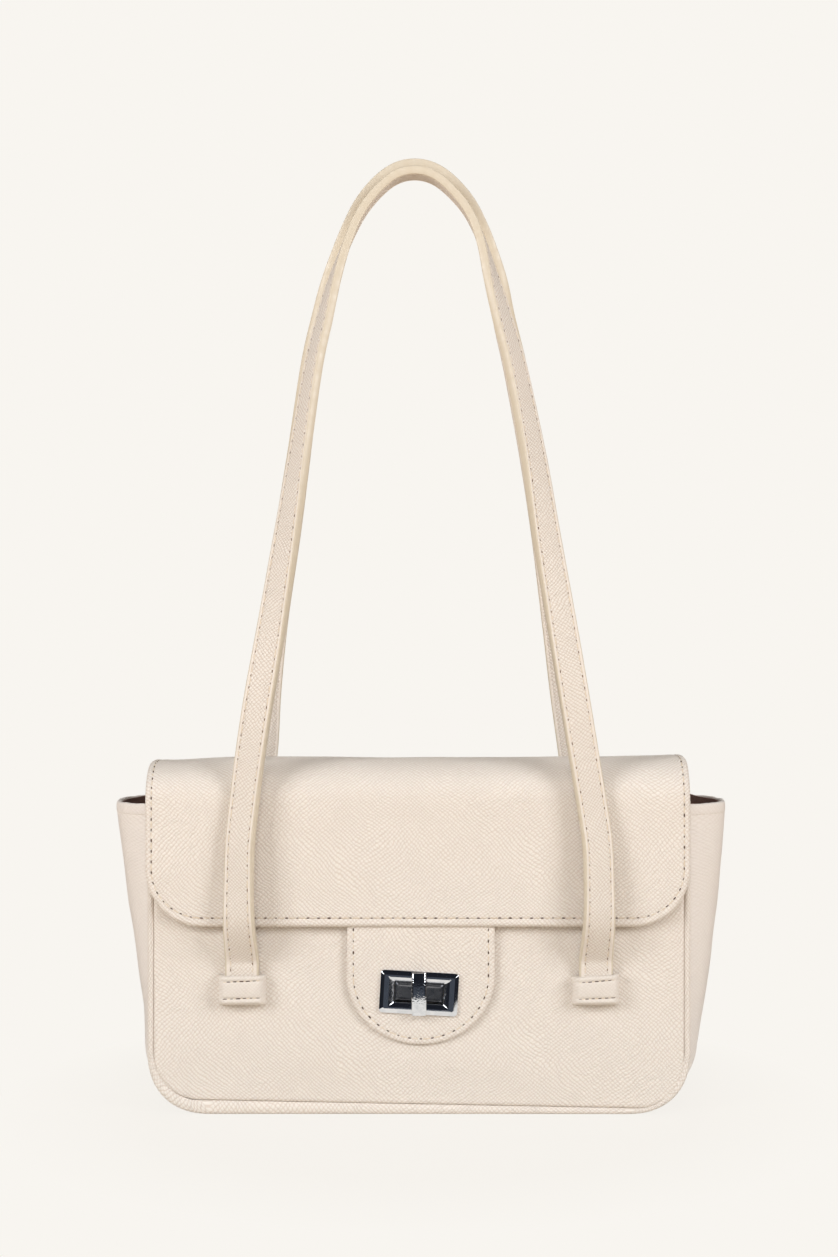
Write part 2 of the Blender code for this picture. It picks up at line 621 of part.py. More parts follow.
def make_lock_seat():
    """The block on the front panel that fills the bezel's window, and the plate and spring behind."""
    half_w = WINDOW_HALF_WIDTH - BASE_BLOCK_PLAY
    half_h = WINDOW_HALF_HEIGHT - BASE_BLOCK_PLAY
    back = -FACE_Y - GAP
    shoulder = -BEZEL_BACK_Y
    front = shoulder - BASE_BLOCK_BEVEL
    wide = rounded_rectangle(half_w, half_h, BEZEL_SLEEVE / 2, tilt=LOCK_TILT, z=LOCK_Z)
    slim = rounded_rectangle(half_w - BASE_BLOCK_BEVEL, half_h - BASE_BLOCK_BEVEL, BEZEL_SLEEVE / 2,
                             tilt=LOCK_TILT, z=LOCK_Z)
    bore = circle(SPINDLE_RADIUS + SPINDLE_PLAY, 0.0, LOCK_Z, len(wide))
    turn = min(range(len(bore)), key=lambda k: math.hypot(bore[k][0] - wide[0][0], bore[k][1] - wide[0][1]))
    bore = bore[turn:] + bore[:turn]
    ring_stack("lock_base_plate", plated_steel, ((wide, back), (wide, shoulder), (slim, front),
                                                 (bore, front), (bore, back)))
    near = -BOARD_FRONT
    plate = rounded_rectangle(INNER_PLATE_HALF_WIDTH, INNER_PLATE_HALF_HEIGHT, BOARD_WINDOW_MARGIN, z=LOCK_Z)
    slab("lock_inner_plate", plated_steel, plate, near, near + INNER_PLATE_THICKNESS, (lock_hole(),))
    near += INNER_PLATE_THICKNESS + GAP
    turned("lock_spring_washer", plated_steel, SPRING_RADIUS, near, near + SPRING_THICKNESS, LOCK_Z,
           SPINDLE_RADIUS + SPINDLE_PLAY)


def make_knob():
    """The turning bar with an arched face, its spindle through the panel, and the clip behind."""
    back = -BEZEL_BACK_Y - BEZEL_HEIGHT - GAP
    bm = bmesh.new()
    rings = []
    for k in range(KNOB_STEPS + 1):
        share = 2.0 * k / KNOB_STEPS - 1.0
        z = LOCK_Z + KNOB_HALF_LENGTH * share
        face = back - KNOB_THICKNESS + (KNOB_THICKNESS / 2) * share * share
        side = KNOB_HALF_WIDTH
        brow = KNOB_HALF_WIDTH - KNOB_EDGE
        shoulder = face + KNOB_EDGE / 2
        rings.append([bm.verts.new(p) for p in ((-side, back, z), (-side, shoulder, z), (-brow, face, z),
                                                (brow, face, z), (side, shoulder, z), (side, back, z))])
    for here, there in zip(rings, rings[1:]):
        for k in range(len(here)):
            n = (k + 1) % len(here)
            bm.faces.new((here[k], here[n], there[n], there[k]))
    bm.faces.new(rings[0])
    bm.faces.new(rings[-1][::-1])
    place("lock_knob", bm, polished_chrome)
    clip_near = (-BOARD_FRONT + INNER_PLATE_THICKNESS + GAP + SPRING_THICKNESS + GAP)
    spindle_end = clip_near - GAP
    turned("lock_spindle", plated_steel, SPINDLE_RADIUS, back + GAP, spindle_end, LOCK_Z)
    turned("lock_spindle_clip", plated_steel, CLIP_RADIUS, clip_near, clip_near + CLIP_THICKNESS, LOCK_Z)


def spline(points):
    """Points on a smooth curve through the given ones, with a few steps between each two."""
    padded = [2 * points[0] - points[1], *points, 2 * points[-1] - points[-2]]
    curve = []
    for a, b, c, d in zip(padded, padded[1:], padded[2:], padded[3:]):
        for k in range(STRAP_STEPS):
            t = k / STRAP_STEPS
            curve.append(0.5 * (2 * b + (c - a) * t + (2 * a - 5 * b + 4 * c - d) * t * t
                                + (3 * b - a - 3 * c + d) * t ** 3))
    return [*curve, points[-1]]


def strap_stations(rise, bow, draw):
    """Places along a front strap from the left keeper over the top to the right one.

    Each is (middle, side axis, face axis). The face looks to the front at the keepers and turns
    outwards towards the top, where the strap lies flat over the hand.
    """
    climb = rise - STRAP_ROOT_RISE
    half = []
    for spread, up, deep, bowed, drawn in zip(SPREAD_SHARES, RISE_SHARES, DEPTH_SHARES, BOW_SHARES,
                                              DRAW_SHARES):
        x = STRAP_HALF_SPREAD * spread + bow * bowed
        y = -STRAP_TOP_DEPTH - (STRAP_ROOT_Y - STRAP_TOP_DEPTH) * deep
        half.append((x, y, STRAP_CURVE_Z + climb * up, up, draw * drawn))
    marks = [(-x, y, z, up) for x, y, z, up, drawn in half]
    marks += [(x - drawn, y, z, up) for x, y, z, up, drawn in reversed(half[:-1])]
    curve = spline([Vector((x + STRAP_LEAN_X * up * up, y, z)) for x, y, z, up in marks])
    drop = Vector((0.0, 0.0, STRAP_ROOT_RISE))
    dense = [curve[0] - drop, *curve, curve[-1] - drop]
    stations = []
    for i, point in enumerate(dense):
        along = (dense[min(i + 1, len(dense) - 1)] - dense[max(i - 1, 0)]).normalized()
        outward = along.cross(Vector((0.0, 1.0, 0.0))).normalized()
        forward = along.cross(outward)
        turn = twist_at((point.z - STRAP_CURVE_Z) / climb)
        skew = STRAP_TWIST_SKEW * math.sin(math.pi * turn / math.radians(90.0))
        turn += skew if point.x < 0.0 else -skew
        face = forward * math.cos(turn) + outward * math.sin(turn)
        stations.append((point, along.cross(face), face))
    return rounded_ends(stations)


def rounded_ends(stations):
    """Adds the stations of a half-round end below each foot of a strap, about its pivot."""
    steps = [Vector((0.0, 0.0, STRAP_THICKNESS / 2 * math.sin(math.radians(a)))) for a in STRAP_END_ANGLES]
    first, last = stations[0], stations[-1]
    before = [(first[0] - step, first[1], first[2]) for step in steps]
    after = [(last[0] - step, last[1], last[2]) for step in reversed(steps)]
    return [*before, *stations, *after]


def twist_at(share):
    """The strap's turn at a share of its rise, read between the listed places."""
    for k in range(len(RISE_SHARES) - 1):
        if share <= RISE_SHARES[k + 1]:
            span = RISE_SHARES[k + 1] - RISE_SHARES[k]
            part = (share - RISE_SHARES[k]) / span
            return math.radians(90.0) * (TWIST_SHARES[k] + (TWIST_SHARES[k + 1] - TWIST_SHARES[k]) * part)
    return math.radians(90.0) * TWIST_SHARES[-1]


def mirrored(stations):
    """The same stations on the other side of the bag, which swaps front and rear."""
    flip = Matrix.Diagonal((1.0, -1.0, 1.0))
    return [(flip @ origin, flip @ side, flip @ face) for origin, side, face in stations]


def make_straps():
    """Each strap is an outer leather and a backing leather, glued back to back and stitched."""
    half = STRAP_WIDTH / 2
    top = STRAP_THICKNESS / 2
    low = top - STRAP_LEATHER
    brow = half - STRAP_EDGE
    outer = [(-half, low), (0.0, low), (half, low), (half, top - STRAP_EDGE), (brow, top), (0.0, top),
             (-brow, top), (-half, top - STRAP_EDGE)]
    shares = [math.cos(math.radians(angle)) for angle in STRAP_END_ANGLES]
    fronts = strap_stations(FRONT_STRAP_RISE, 0.0, RIGHT_LEG_DRAW)
    rears = mirrored(strap_stations(REAR_STRAP_RISE, REAR_STRAP_BOW, 0.0))
    thinning = [*shares, *([1.0] * (len(fronts) - 2 * len(shares))), *reversed(shares)]
    outers = [[(a, low + (b - low) * share) for a, b in outer] for share in thinning]
    backings = [[(a, -b) for a, b in section] for section in outers]
    for word, stations in (("front", fronts), ("rear", rears)):
        sweep(word + "_strap_outer", leather, stations, outers)
        sweep(word + "_strap_backing", edge_leather, stations, backings)


def make_keeper(word, side, sign):
    """A thick leather cap sewn over a strap's end, open at the top and against the panel."""
    x = side * STRAP_HALF_SPREAD
    near = FACE_Y + GAP
    pocket = STRAP_THICKNESS + 2 * GAP
    far = near + pocket + KEEPER_FACE
    top = KEEPER_BOTTOM + KEEPER_HEIGHT
    name = word + "_keeper"
    low_y, high_y = sorted((sign * near, sign * far))
    cap = block(name, leather, (x - KEEPER_HALF_WIDTH, low_y, KEEPER_BOTTOM),
                (x + KEEPER_HALF_WIDTH, high_y, top), KEEPER_EDGE)
    half = STRAP_WIDTH / 2 + GAP
    floor = top - STRAP_END_LENGTH - 2 * GAP
    cut_low, cut_high = sorted((sign * (near - OVERRUN), sign * (near + pocket)))
    cutter = block(name + "_pocket", leather, (x - half, cut_low, floor), (x + half, cut_high, top + OVERRUN))
    cutter.hide_render = True
    cutter.display_type = "WIRE"
    cut = cap.modifiers.new("pocket", "BOOLEAN")
    cut.operation = "DIFFERENCE"
    cut.object = cutter
    end_low, end_high = sorted((sign * (near + GAP), sign * (near + GAP + STRAP_THICKNESS)))
    block(word + "_strap_end", edge_leather, (x - STRAP_WIDTH / 2, end_low, top - STRAP_END_LENGTH - GAP),
          (x + STRAP_WIDTH / 2, end_high, top - GAP))


def make_keepers():
    for end, sign in (("front", -1), ("rear", 1)):
        for word, side in (("left", -1), ("right", 1)):
            make_keeper(end + "_" + word, side, sign)


def build():
    clear_scene()
    make_panels()
    make_welts()
    make_boards()
    make_flat_linings()
    make_front_binding()
    make_gussets()
    make_flap()
    make_hinge_strip()
    make_tab()
    make_bezel()
    make_lock_seat()
    make_knob()
    make_straps()
    make_keepers()


build()
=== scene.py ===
# A structured shoulder bag in cream embossed leather, with a flap, a turn lock and two straps.
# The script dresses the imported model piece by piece. Sizes are in metres, +Z is up, -Y the front.

import math

import bmesh
import bpy
import numpy as np
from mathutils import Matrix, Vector, noise


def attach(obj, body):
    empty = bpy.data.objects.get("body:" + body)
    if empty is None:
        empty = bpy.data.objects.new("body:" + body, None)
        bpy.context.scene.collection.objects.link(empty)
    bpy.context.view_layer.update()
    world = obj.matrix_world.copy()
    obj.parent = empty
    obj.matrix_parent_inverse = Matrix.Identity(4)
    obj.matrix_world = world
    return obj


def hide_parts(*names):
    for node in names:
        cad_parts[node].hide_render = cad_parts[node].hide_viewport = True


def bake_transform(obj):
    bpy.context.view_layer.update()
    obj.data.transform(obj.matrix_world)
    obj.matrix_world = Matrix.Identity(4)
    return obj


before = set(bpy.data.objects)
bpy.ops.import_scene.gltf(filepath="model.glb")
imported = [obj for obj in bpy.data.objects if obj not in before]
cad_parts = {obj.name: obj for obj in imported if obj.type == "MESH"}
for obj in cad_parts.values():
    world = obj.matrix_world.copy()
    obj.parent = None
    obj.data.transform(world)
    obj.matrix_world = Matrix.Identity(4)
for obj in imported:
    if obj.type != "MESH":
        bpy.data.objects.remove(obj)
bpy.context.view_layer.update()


# Studio: a level camera close in front of the bag, a pale floor that keeps the bag's shadow,
# and large soft lamps. The room above is dim, so that polished metal has something dark to show.
BACKDROP = (0.939, 0.914, 0.871)
FLOOR_RADIUS = 0.225
SIDE_LIGHT, FRONT_LIGHT, BACK_LIGHT = (0.975, 0.98, 1.0), (0.99, 0.985, 1.0), (1.0, 0.99, 0.98)


def put(tree, kind, inputs=None, **settings):
    """Adds a node, sets its options, then sets or links its inputs."""
    node = tree.nodes.new(kind)
    for key, value in settings.items():
        setattr(node, key, value)
    for key, value in (inputs or {}).items():
        socket = node.inputs[key]
        if isinstance(value, bpy.types.NodeSocket):
            tree.links.new(value, socket)
        else:
            socket.default_value = (*value, 1.0) if socket.type == "RGBA" else value
    return node


def feed(tree, kind, inputs=None, **settings):
    """The first output of a new node."""
    return put(tree, kind, inputs, **settings).outputs[0]


def calc(tree, operation, *values):
    return feed(tree, "ShaderNodeMath", dict(enumerate(values)), operation=operation)


def spread(tree, value, low, high, to_low=0.0, to_high=1.0):
    """Maps a value's range to another one and holds it there."""
    return feed(tree, "ShaderNodeMapRange", {0: value, 1: low, 2: high, 3: to_low, 4: to_high})


def tinted(tree, share, first, second):
    """A colour between two, by a share that varies over the surface."""
    return put(tree, "ShaderNodeMix", {0: share, 6: first, 7: second}, data_type="RGBA").outputs[2]


def blended(tree, share, first, second):
    return feed(tree, "ShaderNodeMixShader", {0: share, 1: first, 2: second})


def solid_place(tree):
    return put(tree, "ShaderNodeTexCoord").outputs["Object"]


def placed(name, data):
    """Puts a camera, a lamp or a mesh into the scene."""
    thing = bpy.data.objects.new(name, data)
    bpy.context.collection.objects.link(thing)
    return thing


lens = bpy.data.cameras.new("camera")
lens.sensor_fit = "VERTICAL"
lens.sensor_height = 24.0
lens.lens = 35.80
camera = placed("camera", lens)
camera.location = (0.0, -0.940, 0.235)
camera.rotation_euler = (math.radians(90.0), 0.0, 0.0)
bpy.context.scene.camera = camera
bpy.context.scene.view_settings.view_transform = "Standard"

for name, place, aim, width, height, power, colour, in_metal in (
        ("left_softbox", (-1.30, -1.02, 0.80), 0.10, 0.7, 0.8, 16.5, SIDE_LIGHT, True),
        ("right_softbox", (1.30, -1.02, 0.80), 0.10, 0.7, 0.8, 16.1, SIDE_LIGHT, True),
        ("key_softbox", (-0.10, -1.42, 1.06), 0.12, 0.7, 0.5, 5.5, FRONT_LIGHT, False),
        ("rear_softbox", (0.0, 1.55, 0.60), 0.12, 0.9, 0.7, 9.0, BACK_LIGHT, False),
        ("top_softbox", (0.0, 0.30, 1.55), 0.10, 1.1, 0.9, 1.0, BACK_LIGHT, False)):
    light = bpy.data.lights.new(name, "AREA")
    light.shape = "RECTANGLE"
    light.size, light.size_y = width, height
    light.energy, light.color = power, colour
    lamp = placed(name, light)
    lamp.location = place
    lamp.rotation_euler = (Vector((0.0, 0.0, aim)) - Vector(place)).to_track_quat("-Z", "Y").to_euler()
    lamp.visible_glossy = in_metal
    lamp.visible_camera = False

world = bpy.data.worlds.new("studio")
world.use_nodes = True
sky = world.node_tree
sky.nodes.clear()
ray = put(sky, "ShaderNodeLightPath").outputs
seen = calc(sky, "MAXIMUM", ray["Is Camera Ray"], ray["Is Transmission Ray"])
way = put(sky, "ShaderNodeSeparateXYZ", {0: put(sky, "ShaderNodeTexCoord").outputs["Generated"]}).outputs
room_light = tinted(sky, spread(sky, way[2], -0.06, 0.02), (0.76, 0.61, 0.46), (0.24, 0.224, 0.20))
aside = spread(sky, calc(sky, "ABSOLUTE", way[0]), 0.4, 0.7)
black = calc(sky, "MAXIMUM", spread(sky, way[2], -0.02, 0.12), aside)
unlit = tinted(sky, black, (0.062, 0.072, 0.091), (0.013, 0.015, 0.021))
soft_fill, dark_room, pale = [feed(sky, "ShaderNodeBackground", {"Color": colour})
                              for colour in (room_light, unlit, BACKDROP)]
room = blended(sky, seen, blended(sky, ray["Is Glossy Ray"], soft_fill, dark_room), pale)
put(sky, "ShaderNodeOutputWorld", {"Surface": room})
bpy.context.scene.world = world

floor_mesh = bpy.data.meshes.new("floor")
around = [math.tau * k / 96 for k in range(96)]
floor_mesh.from_pydata([(FLOOR_RADIUS * math.cos(a), FLOOR_RADIUS * math.sin(a), 0.0) for a in around],
                       [], [tuple(range(96))])
floor = placed("floor", floor_mesh)
ground = bpy.data.materials.new("pale_ground")
ground.use_nodes = True
tree = ground.node_tree
tree.nodes.clear()
ray = put(tree, "ShaderNodeLightPath").outputs
shown = calc(tree, "MAXIMUM", ray["Is Camera Ray"], ray["Is Glossy Ray"])
shown = calc(tree, "MAXIMUM", shown, ray["Is Transmission Ray"])
reach = put(tree, "ShaderNodeVectorMath", {0: solid_place(tree)}, operation="LENGTH").outputs["Value"]
share = calc(tree, "MULTIPLY", shown, spread(tree, reach, 0.14, 0.21, 0.91, 1.0))
lit = feed(tree, "ShaderNodeBsdfDiffuse", {"Color": (0.78, 0.73, 0.655)})
glow = feed(tree, "ShaderNodeEmission", {"Color": BACKDROP})
put(tree, "ShaderNodeOutputMaterial", {"Surface": blended(tree, share, lit, glow)})
floor_mesh.materials.append(ground)


# Leather: one cream hide, plated with small diamonds in crossed rows, thinly painted.
# The diamonds follow each piece's own unrolled measure, kept on the mesh as the attribute "lay".
def node_group(name, kind, inputs, outputs):
    """A group with named sockets, given as name and kind, and the sockets that it reads from."""
    group = bpy.data.node_groups.new(name, kind)
    for side, sockets in (("INPUT", inputs), ("OUTPUT", outputs)):
        for word, sort in sockets.items():
            group.interface.new_socket(name=word, in_out=side, socket_type="NodeSocket" + sort)
    return group, put(group, "NodeGroupInput").outputs


def mottle(tree, where, scale, detail):
    """Smooth noise over the surface: a value first, and three values as a colour."""
    return put(tree, "ShaderNodeTexNoise", {"Vector": where, "Scale": scale, "Detail": detail}).outputs


def vec(tree, operation, inputs):
    return feed(tree, "ShaderNodeVectorMath", inputs, operation=operation)


def new_finish(name):
    made = bpy.data.materials.new(name)
    made.use_nodes = True
    return made, made.node_tree


def shaded(made, tone, rough, relief, depth, strength=1.0):
    """Feeds a varying colour, roughness and fine relief into a material's shader."""
    tree = made.node_tree
    shader = tree.nodes["Principled BSDF"]
    bump = put(tree, "ShaderNodeBump", {"Height": relief, "Distance": depth, "Strength": strength})
    for socket, value in (("Base Color", tone), ("Roughness", rough), ("Normal", bump.outputs[0])):
        tree.links.new(value, shader.inputs[socket])
    return shader.inputs


def laid_place(tree):
    return put(tree, "ShaderNodeAttribute", attribute_name="lay").outputs["Vector"]


grain, inlet = node_group("leather_grain", "ShaderNodeTree",
                          {"Place": "Vector", "Cell": "Float", "Irregular": "Float"},
                          {"Height": "Float", "Valley": "Float", "Drift": "Float"})
place = inlet["Place"]
wide = calc(grain, "MULTIPLY", inlet["Cell"], 1.12)
cell = feed(grain, "ShaderNodeCombineXYZ", {0: wide, 1: inlet["Cell"], 2: inlet["Cell"]})
stretch = mottle(grain, place, 22.0, 1.0)
slow = vec(grain, "SCALE", {0: stretch["Color"], "Scale": 0.011})
even = vec(grain, "DIVIDE", {0: vec(grain, "ADD", {0: place, 1: slow}), 1: cell})
wander = mottle(grain, place, 210.0, 2.0)["Color"]
centred = vec(grain, "SUBTRACT", {0: wander, 1: (0.5, 0.5, 0.5)})
pulled = vec(grain, "SCALE", {0: centred, "Scale": inlet["Irregular"]})
axes = put(grain, "ShaderNodeSeparateXYZ", {0: vec(grain, "ADD", {0: even, 1: pulled})}).outputs
turned = spread(grain, stretch[0], 0.38, 0.62, 0.36, 0.74)
rows = []
for sign, depth in ((1.0, turned), (-1.0, calc(grain, "SUBTRACT", 1.10, turned))):
    along = calc(grain, "MULTIPLY_ADD", axes[1], sign, axes[0])
    wave = calc(grain, "ABSOLUTE", calc(grain, "SINE", calc(grain, "MULTIPLY", along, math.pi)))
    rows.append(calc(grain, "POWER", wave, depth))
diamond = calc(grain, "MULTIPLY", *rows)
patch = spread(grain, mottle(grain, place, 420.0, 2.0)[0], 0.3, 0.7, 0.6, 1.15)
raised = calc(grain, "MULTIPLY", diamond, patch)
# Valley is 1 in the pressed lines; the leathers darken them there as painted shade and make them a little
# rougher
put(grain, "NodeGroupOutput", {
    "Height": calc(grain, "MULTIPLY_ADD", mottle(grain, place, 5200.0, 2.0)[0], 0.09, raised),
    "Valley": spread(grain, diamond, 0.25, 0.75, 1.0, 0.0),
    "Drift": spread(grain, mottle(grain, place, 17.0, 3.0)[0], 0.32, 0.68)})


def leather(name, colour, deep, warm, hollow_shade=0.45, size=0.0020, height=0.00027, where=laid_place):
    """Embossed leather: deep is the painted shade in the pressed lines, warm the tone of broad patches."""
    made, tree = new_finish(name)
    hide = put(tree, "ShaderNodeGroup", {"Place": where(tree), "Cell": size, "Irregular": 1.10},
               node_tree=grain).outputs
    base = tinted(tree, calc(tree, "MULTIPLY", hide["Drift"], 0.45), colour, warm)
    # painted shade: the pressed lines of the grain are darkened towards deep
    tone = tinted(tree, calc(tree, "MULTIPLY", hide["Valley"], hollow_shade), base, deep)
    worn = spread(tree, hide["Drift"], 0.0, 1.0, 0.46, 0.55)
    rough = calc(tree, "MULTIPLY_ADD", hide["Valley"], 0.10, worn)
    shaded(made, tone, rough, hide["Height"], height)["Specular IOR Level"].default_value = 0.38
    return made


cream = leather("cream_leather", (0.828, 0.777, 0.716), (0.585, 0.462, 0.375), (0.808, 0.747, 0.676))


# Front and back panels: leather laid over foam-faced board, rolled in at the seams.
# Each is crowned: held flat under the flap and the tab, fuller towards the base.
EDGES = [e / 1000 for e in (0.0, 0.05, 0.2, 0.45, 0.8, 1.2, 1.6, 2.0, 2.4, 2.75, 3.05, 3.3, 3.5, 3.7,
                            3.9, 4.1, 4.35, 4.7, 5.2, 6.0, 7.3, 9.0)]
PANEL_HALF = 0.1283
PANEL_CORNER = 0.0220
PANEL_BACK = 0.0324
PANEL_LEATHER = 0.0016
PANEL_STEP = 0.0028
PANELS = (("front", -1, 0.1515), ("back", 1, 0.1600))


def held(value):
    return min(max(value, 0.0), 1.0)


def eased(value):
    """A value held between 0 and 1, with soft ends."""
    return held(value) ** 2 * (3.0 - 2.0 * held(value))


def graded(span, step):
    """Distances from 0 to span, close together near the ends and evenly spaced between."""
    inner = span - EDGES[-1]
    count = max(int((inner - EDGES[-1]) / step), 2)
    middle = [EDGES[-1] + (inner - EDGES[-1]) * k / count for k in range(1, count)]
    return [*EDGES, *middle, *[span - e for e in reversed(EDGES)]]


def quarter(k, steps):
    """The angle after k of the steps of a quarter turn."""
    return math.radians(90.0) * k / steps


def rolled(distance, radius):
    """The share of full thickness at a distance from a rolled edge: a quarter circle."""
    left = 1.0 - held(distance / radius)
    return math.sqrt(1.0 - left * left)


def ridge(value, middle, width):
    return math.exp(-((value - middle) / width) ** 2)


def soft(x, y, size, seed=0.0):
    """Gentle unevenness of a hand-made surface, from -1 to 1."""
    return noise.noise(Vector((x / size, y / size, seed)))


def finished(name, mesh, materials, lay, sharp=50.0):
    """Turns a mesh into a named piece with outward faces, smooth shading and its unrolled measure."""
    mesh.attributes.new("lay", "FLOAT_VECTOR", "POINT").data.foreach_set("vector", np.ravel(lay))
    bm = bmesh.new()
    bm.from_mesh(mesh)
    bmesh.ops.recalc_face_normals(bm, faces=bm.faces[:])
    bm.to_mesh(mesh)
    bm.free()
    mesh.shade_smooth()
    mesh.set_sharp_from_angle(angle=math.radians(sharp))
    for made in materials:
        mesh.materials.append(made)
    return placed(name, mesh)


def sheet_piece(name, grid, outer, inner, made, laid=lambda u, v: (u, v), joined=True):
    """A closed sheet over a grid of (u, v), from the points of its outer and its inner face.

    laid gives the unrolled measure. When joined, the faces share their outermost points."""
    rows, columns = len(grid), len(grid[0])
    top = np.arange(rows * columns).reshape(rows, columns)
    low = top + rows * columns
    marks = [mark for row in grid for mark in row]
    points = [outer(*mark) for mark in marks] + [inner(*mark) for mark in marks]
    lay = [(*laid(*mark), level) for level in (0.0, 0.05) for mark in marks]
    faces = []
    rim = [(0, c) for c in range(columns)] + [(r, columns - 1) for r in range(1, rows)]
    rim += [(rows - 1, c) for c in range(columns - 2, -1, -1)] + [(r, 0) for r in range(rows - 2, 0, -1)]
    if joined:
        for r, c in rim:
            low[r, c] = top[r, c]
    else:
        for (r0, c0), (r1, c1) in zip(rim, rim[1:] + rim[:1]):
            faces.append((top[r0, c0], low[r0, c0], low[r1, c1], top[r1, c1]))
    for r in range(rows - 1):
        for c in range(columns - 1):
            faces.append((top[r, c], top[r, c + 1], top[r + 1, c + 1], top[r + 1, c]))
            faces.append((low[r, c], low[r + 1, c], low[r + 1, c + 1], low[r, c + 1]))
    used = np.unique(np.concatenate([top.ravel(), low.ravel()]))
    new = np.full(2 * rows * columns, -1)
    new[used] = np.arange(len(used))
    mesh = bpy.data.meshes.new(name)
    mesh.from_pydata([points[i] for i in used], [], [[int(new[i]) for i in face] for face in faces])
    return finished(name, mesh, [made], [lay[i] for i in used])


def ring_piece(name, rings, lay, materials, ends="closed", slots=None, sharp=50.0):
    """A body lofted through rings of points. ends is closed, or round when the last meets the first."""
    count = len(rings[0])
    pairs = [(k, k + 1) for k in range(len(rings) - 1)]
    if ends == "round":
        pairs.append((len(rings) - 1, 0))
    faces, kinds = [], []
    for a, b in pairs:
        for k in range(count):
            n = (k + 1) % count
            faces.append((a * count + k, a * count + n, b * count + n, b * count + k))
            kinds.append(slots[k] if slots else 0)
    if ends == "closed":
        faces.append(tuple(reversed(range(count))))
        faces.append(tuple(range((len(rings) - 1) * count, len(rings) * count)))
        kinds += [max(kinds), max(kinds)]
    mesh = bpy.data.meshes.new(name)
    mesh.from_pydata([p for ring in rings for p in ring], [], faces)
    mesh.polygons.foreach_set("material_index", kinds)
    return finished(name, mesh, materials, [(u, v, 0.0) for ring in lay for u, v in ring], sharp)


def panel_foot(x):
    """The height of the panel's lower seam, which the maker set a little higher on the left."""
    return 0.0050 - 0.0019 * min(max(x / 0.1, -1.1), 1.1)


def drawn_in(above, corner):
    """How far a round corner draws the side in, at a height above the lower edge."""
    return corner - math.sqrt(max(corner ** 2 - max(corner - above, 0.0) ** 2, 0.0))


def rim_distance(x, above, below, half, flat, corner):
    """Distance to the edge of a piece with round lower corners."""
    ax, az = abs(x) - flat, corner - above
    if ax > 0.0 and az > 0.0:
        return corner - math.hypot(ax, az)
    return min(half - abs(x), above, below)


def panel_depth(x, z, top, rear):
    """How far the panel's face stands out from the bag's middle."""
    d = rim_distance(x, z - panel_foot(x), top - z, PANEL_HALF, PANEL_HALF - PANEL_CORNER, PANEL_CORNER)
    low = 1.0 - held((z - 0.030) / 0.075)
    across = 1.0 - (x / PANEL_HALF) ** 2
    crown = (0.0002 + 0.0011 * eased(low)) * across
    if rear:
        crown = 0.0008 * across * math.sin(math.pi * min(z / top, 1.0))
    crown += 0.00022 * soft(x, z, 0.035, 3.0 + rear) * low
    if not rear:
        crown -= 0.0011 * ridge(x, 0.0, 0.055) * held((0.030 - z) / 0.022) ** 2
        crown -= 0.0007 * max(abs(x) - 0.085, 0.0) / 0.04
    return PANEL_BACK + PANEL_LEATHER * rolled(d, 0.0022) + crown * min(d / 0.02, 1.0)


for word, sign, top in PANELS:
    grid = []
    for drop in reversed(graded(top, PANEL_STEP)):
        half = PANEL_HALF - drawn_in(drop, PANEL_CORNER)
        xs = [half * (s / PANEL_HALF - 1.0) for s in graded(2.0 * PANEL_HALF, PANEL_STEP)]
        grid.append([(x, drop + panel_foot(x) * (1.0 - drop / top)) for x in xs])
    panel = sheet_piece(word + "_leather", grid,
                        lambda x, z: (x, sign * panel_depth(x, z, top, sign > 0), z),
                        lambda x, z: (x, sign * PANEL_BACK, z), cream)
    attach(panel, "body")
    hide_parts(word + "_panel")


# Welts: rolled strips of the same leather, sewn into the front and back seams.
# They thicken under the bag, where the base edge is turned over them.
WELT_HALF = 0.1314
WELT_BEND = 0.0310
WELT_RADIUS = 0.0017
WELT_DEPTH = 0.0322
FLAT_OUT = WELT_HALF - WELT_BEND
FLAT_IN = PANEL_HALF - PANEL_CORNER


def lengths(points):
    """How far along a line each of its points lies."""
    runs = [0.0]
    for a, b in zip(points, points[1:]):
        runs.append(runs[-1] + math.dist(a, b))
    return runs


for word, sign, top in PANELS:
    heights = [top - (top - WELT_BEND) * k / 39 for k in range(39)]
    stations = [((WELT_HALF, z), (PANEL_HALF, z)) for z in heights]
    rise = WELT_BEND - panel_foot(0.1)
    for k in range(28):
        cs, sn = math.cos(quarter(k, 28)), math.sin(quarter(k, 28))
        stations.append(((FLAT_OUT + WELT_BEND * cs ** 0.86, WELT_BEND - WELT_BEND * sn ** 0.86),
                         (FLAT_IN + PANEL_CORNER * cs, WELT_BEND - rise * sn ** 1.05)))
    for k in range(1, 70):
        x = FLAT_IN * (1.0 - k / 69)
        stations.append(((min(x, FLAT_OUT), 0.0), (x, panel_foot(x))))
    for (ox, oz), (ix, iz) in reversed(stations[:-1]):
        share = held((WELT_BEND - iz) / rise)
        left_z = WELT_BEND - (WELT_BEND - panel_foot(-0.1)) * share if ix > 0.0999 else panel_foot(-ix)
        stations.append(((-ox, oz), (-ix, iz if iz > WELT_BEND else left_z)))
    rings, lay = [], []
    for ((ox, oz), (ix, iz)), run in zip(stations, lengths([outer for outer, _ in stations])):
        ring, marks = [], []
        for s in range(16):
            angle = math.tau * s / 16
            swell = 1.0 + 0.02 * soft(run, s * 0.001, 0.006, 8.0)
            ring.append(((ox + ix) / 2 + (ox - ix) / 2 * 1.04 * math.cos(angle),
                         sign * (WELT_DEPTH + WELT_RADIUS * swell * math.sin(angle)),
                         (oz + iz) / 2 + (oz - iz) / 2 * math.cos(angle)))
            marks.append((run, 0.002 * angle))
        rings.append(ring)
        lay.append(marks)
    welt = ring_piece(word + "_rolled_welt", rings, lay, [cream])
    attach(welt, "body")
    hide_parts(word + "_welt")


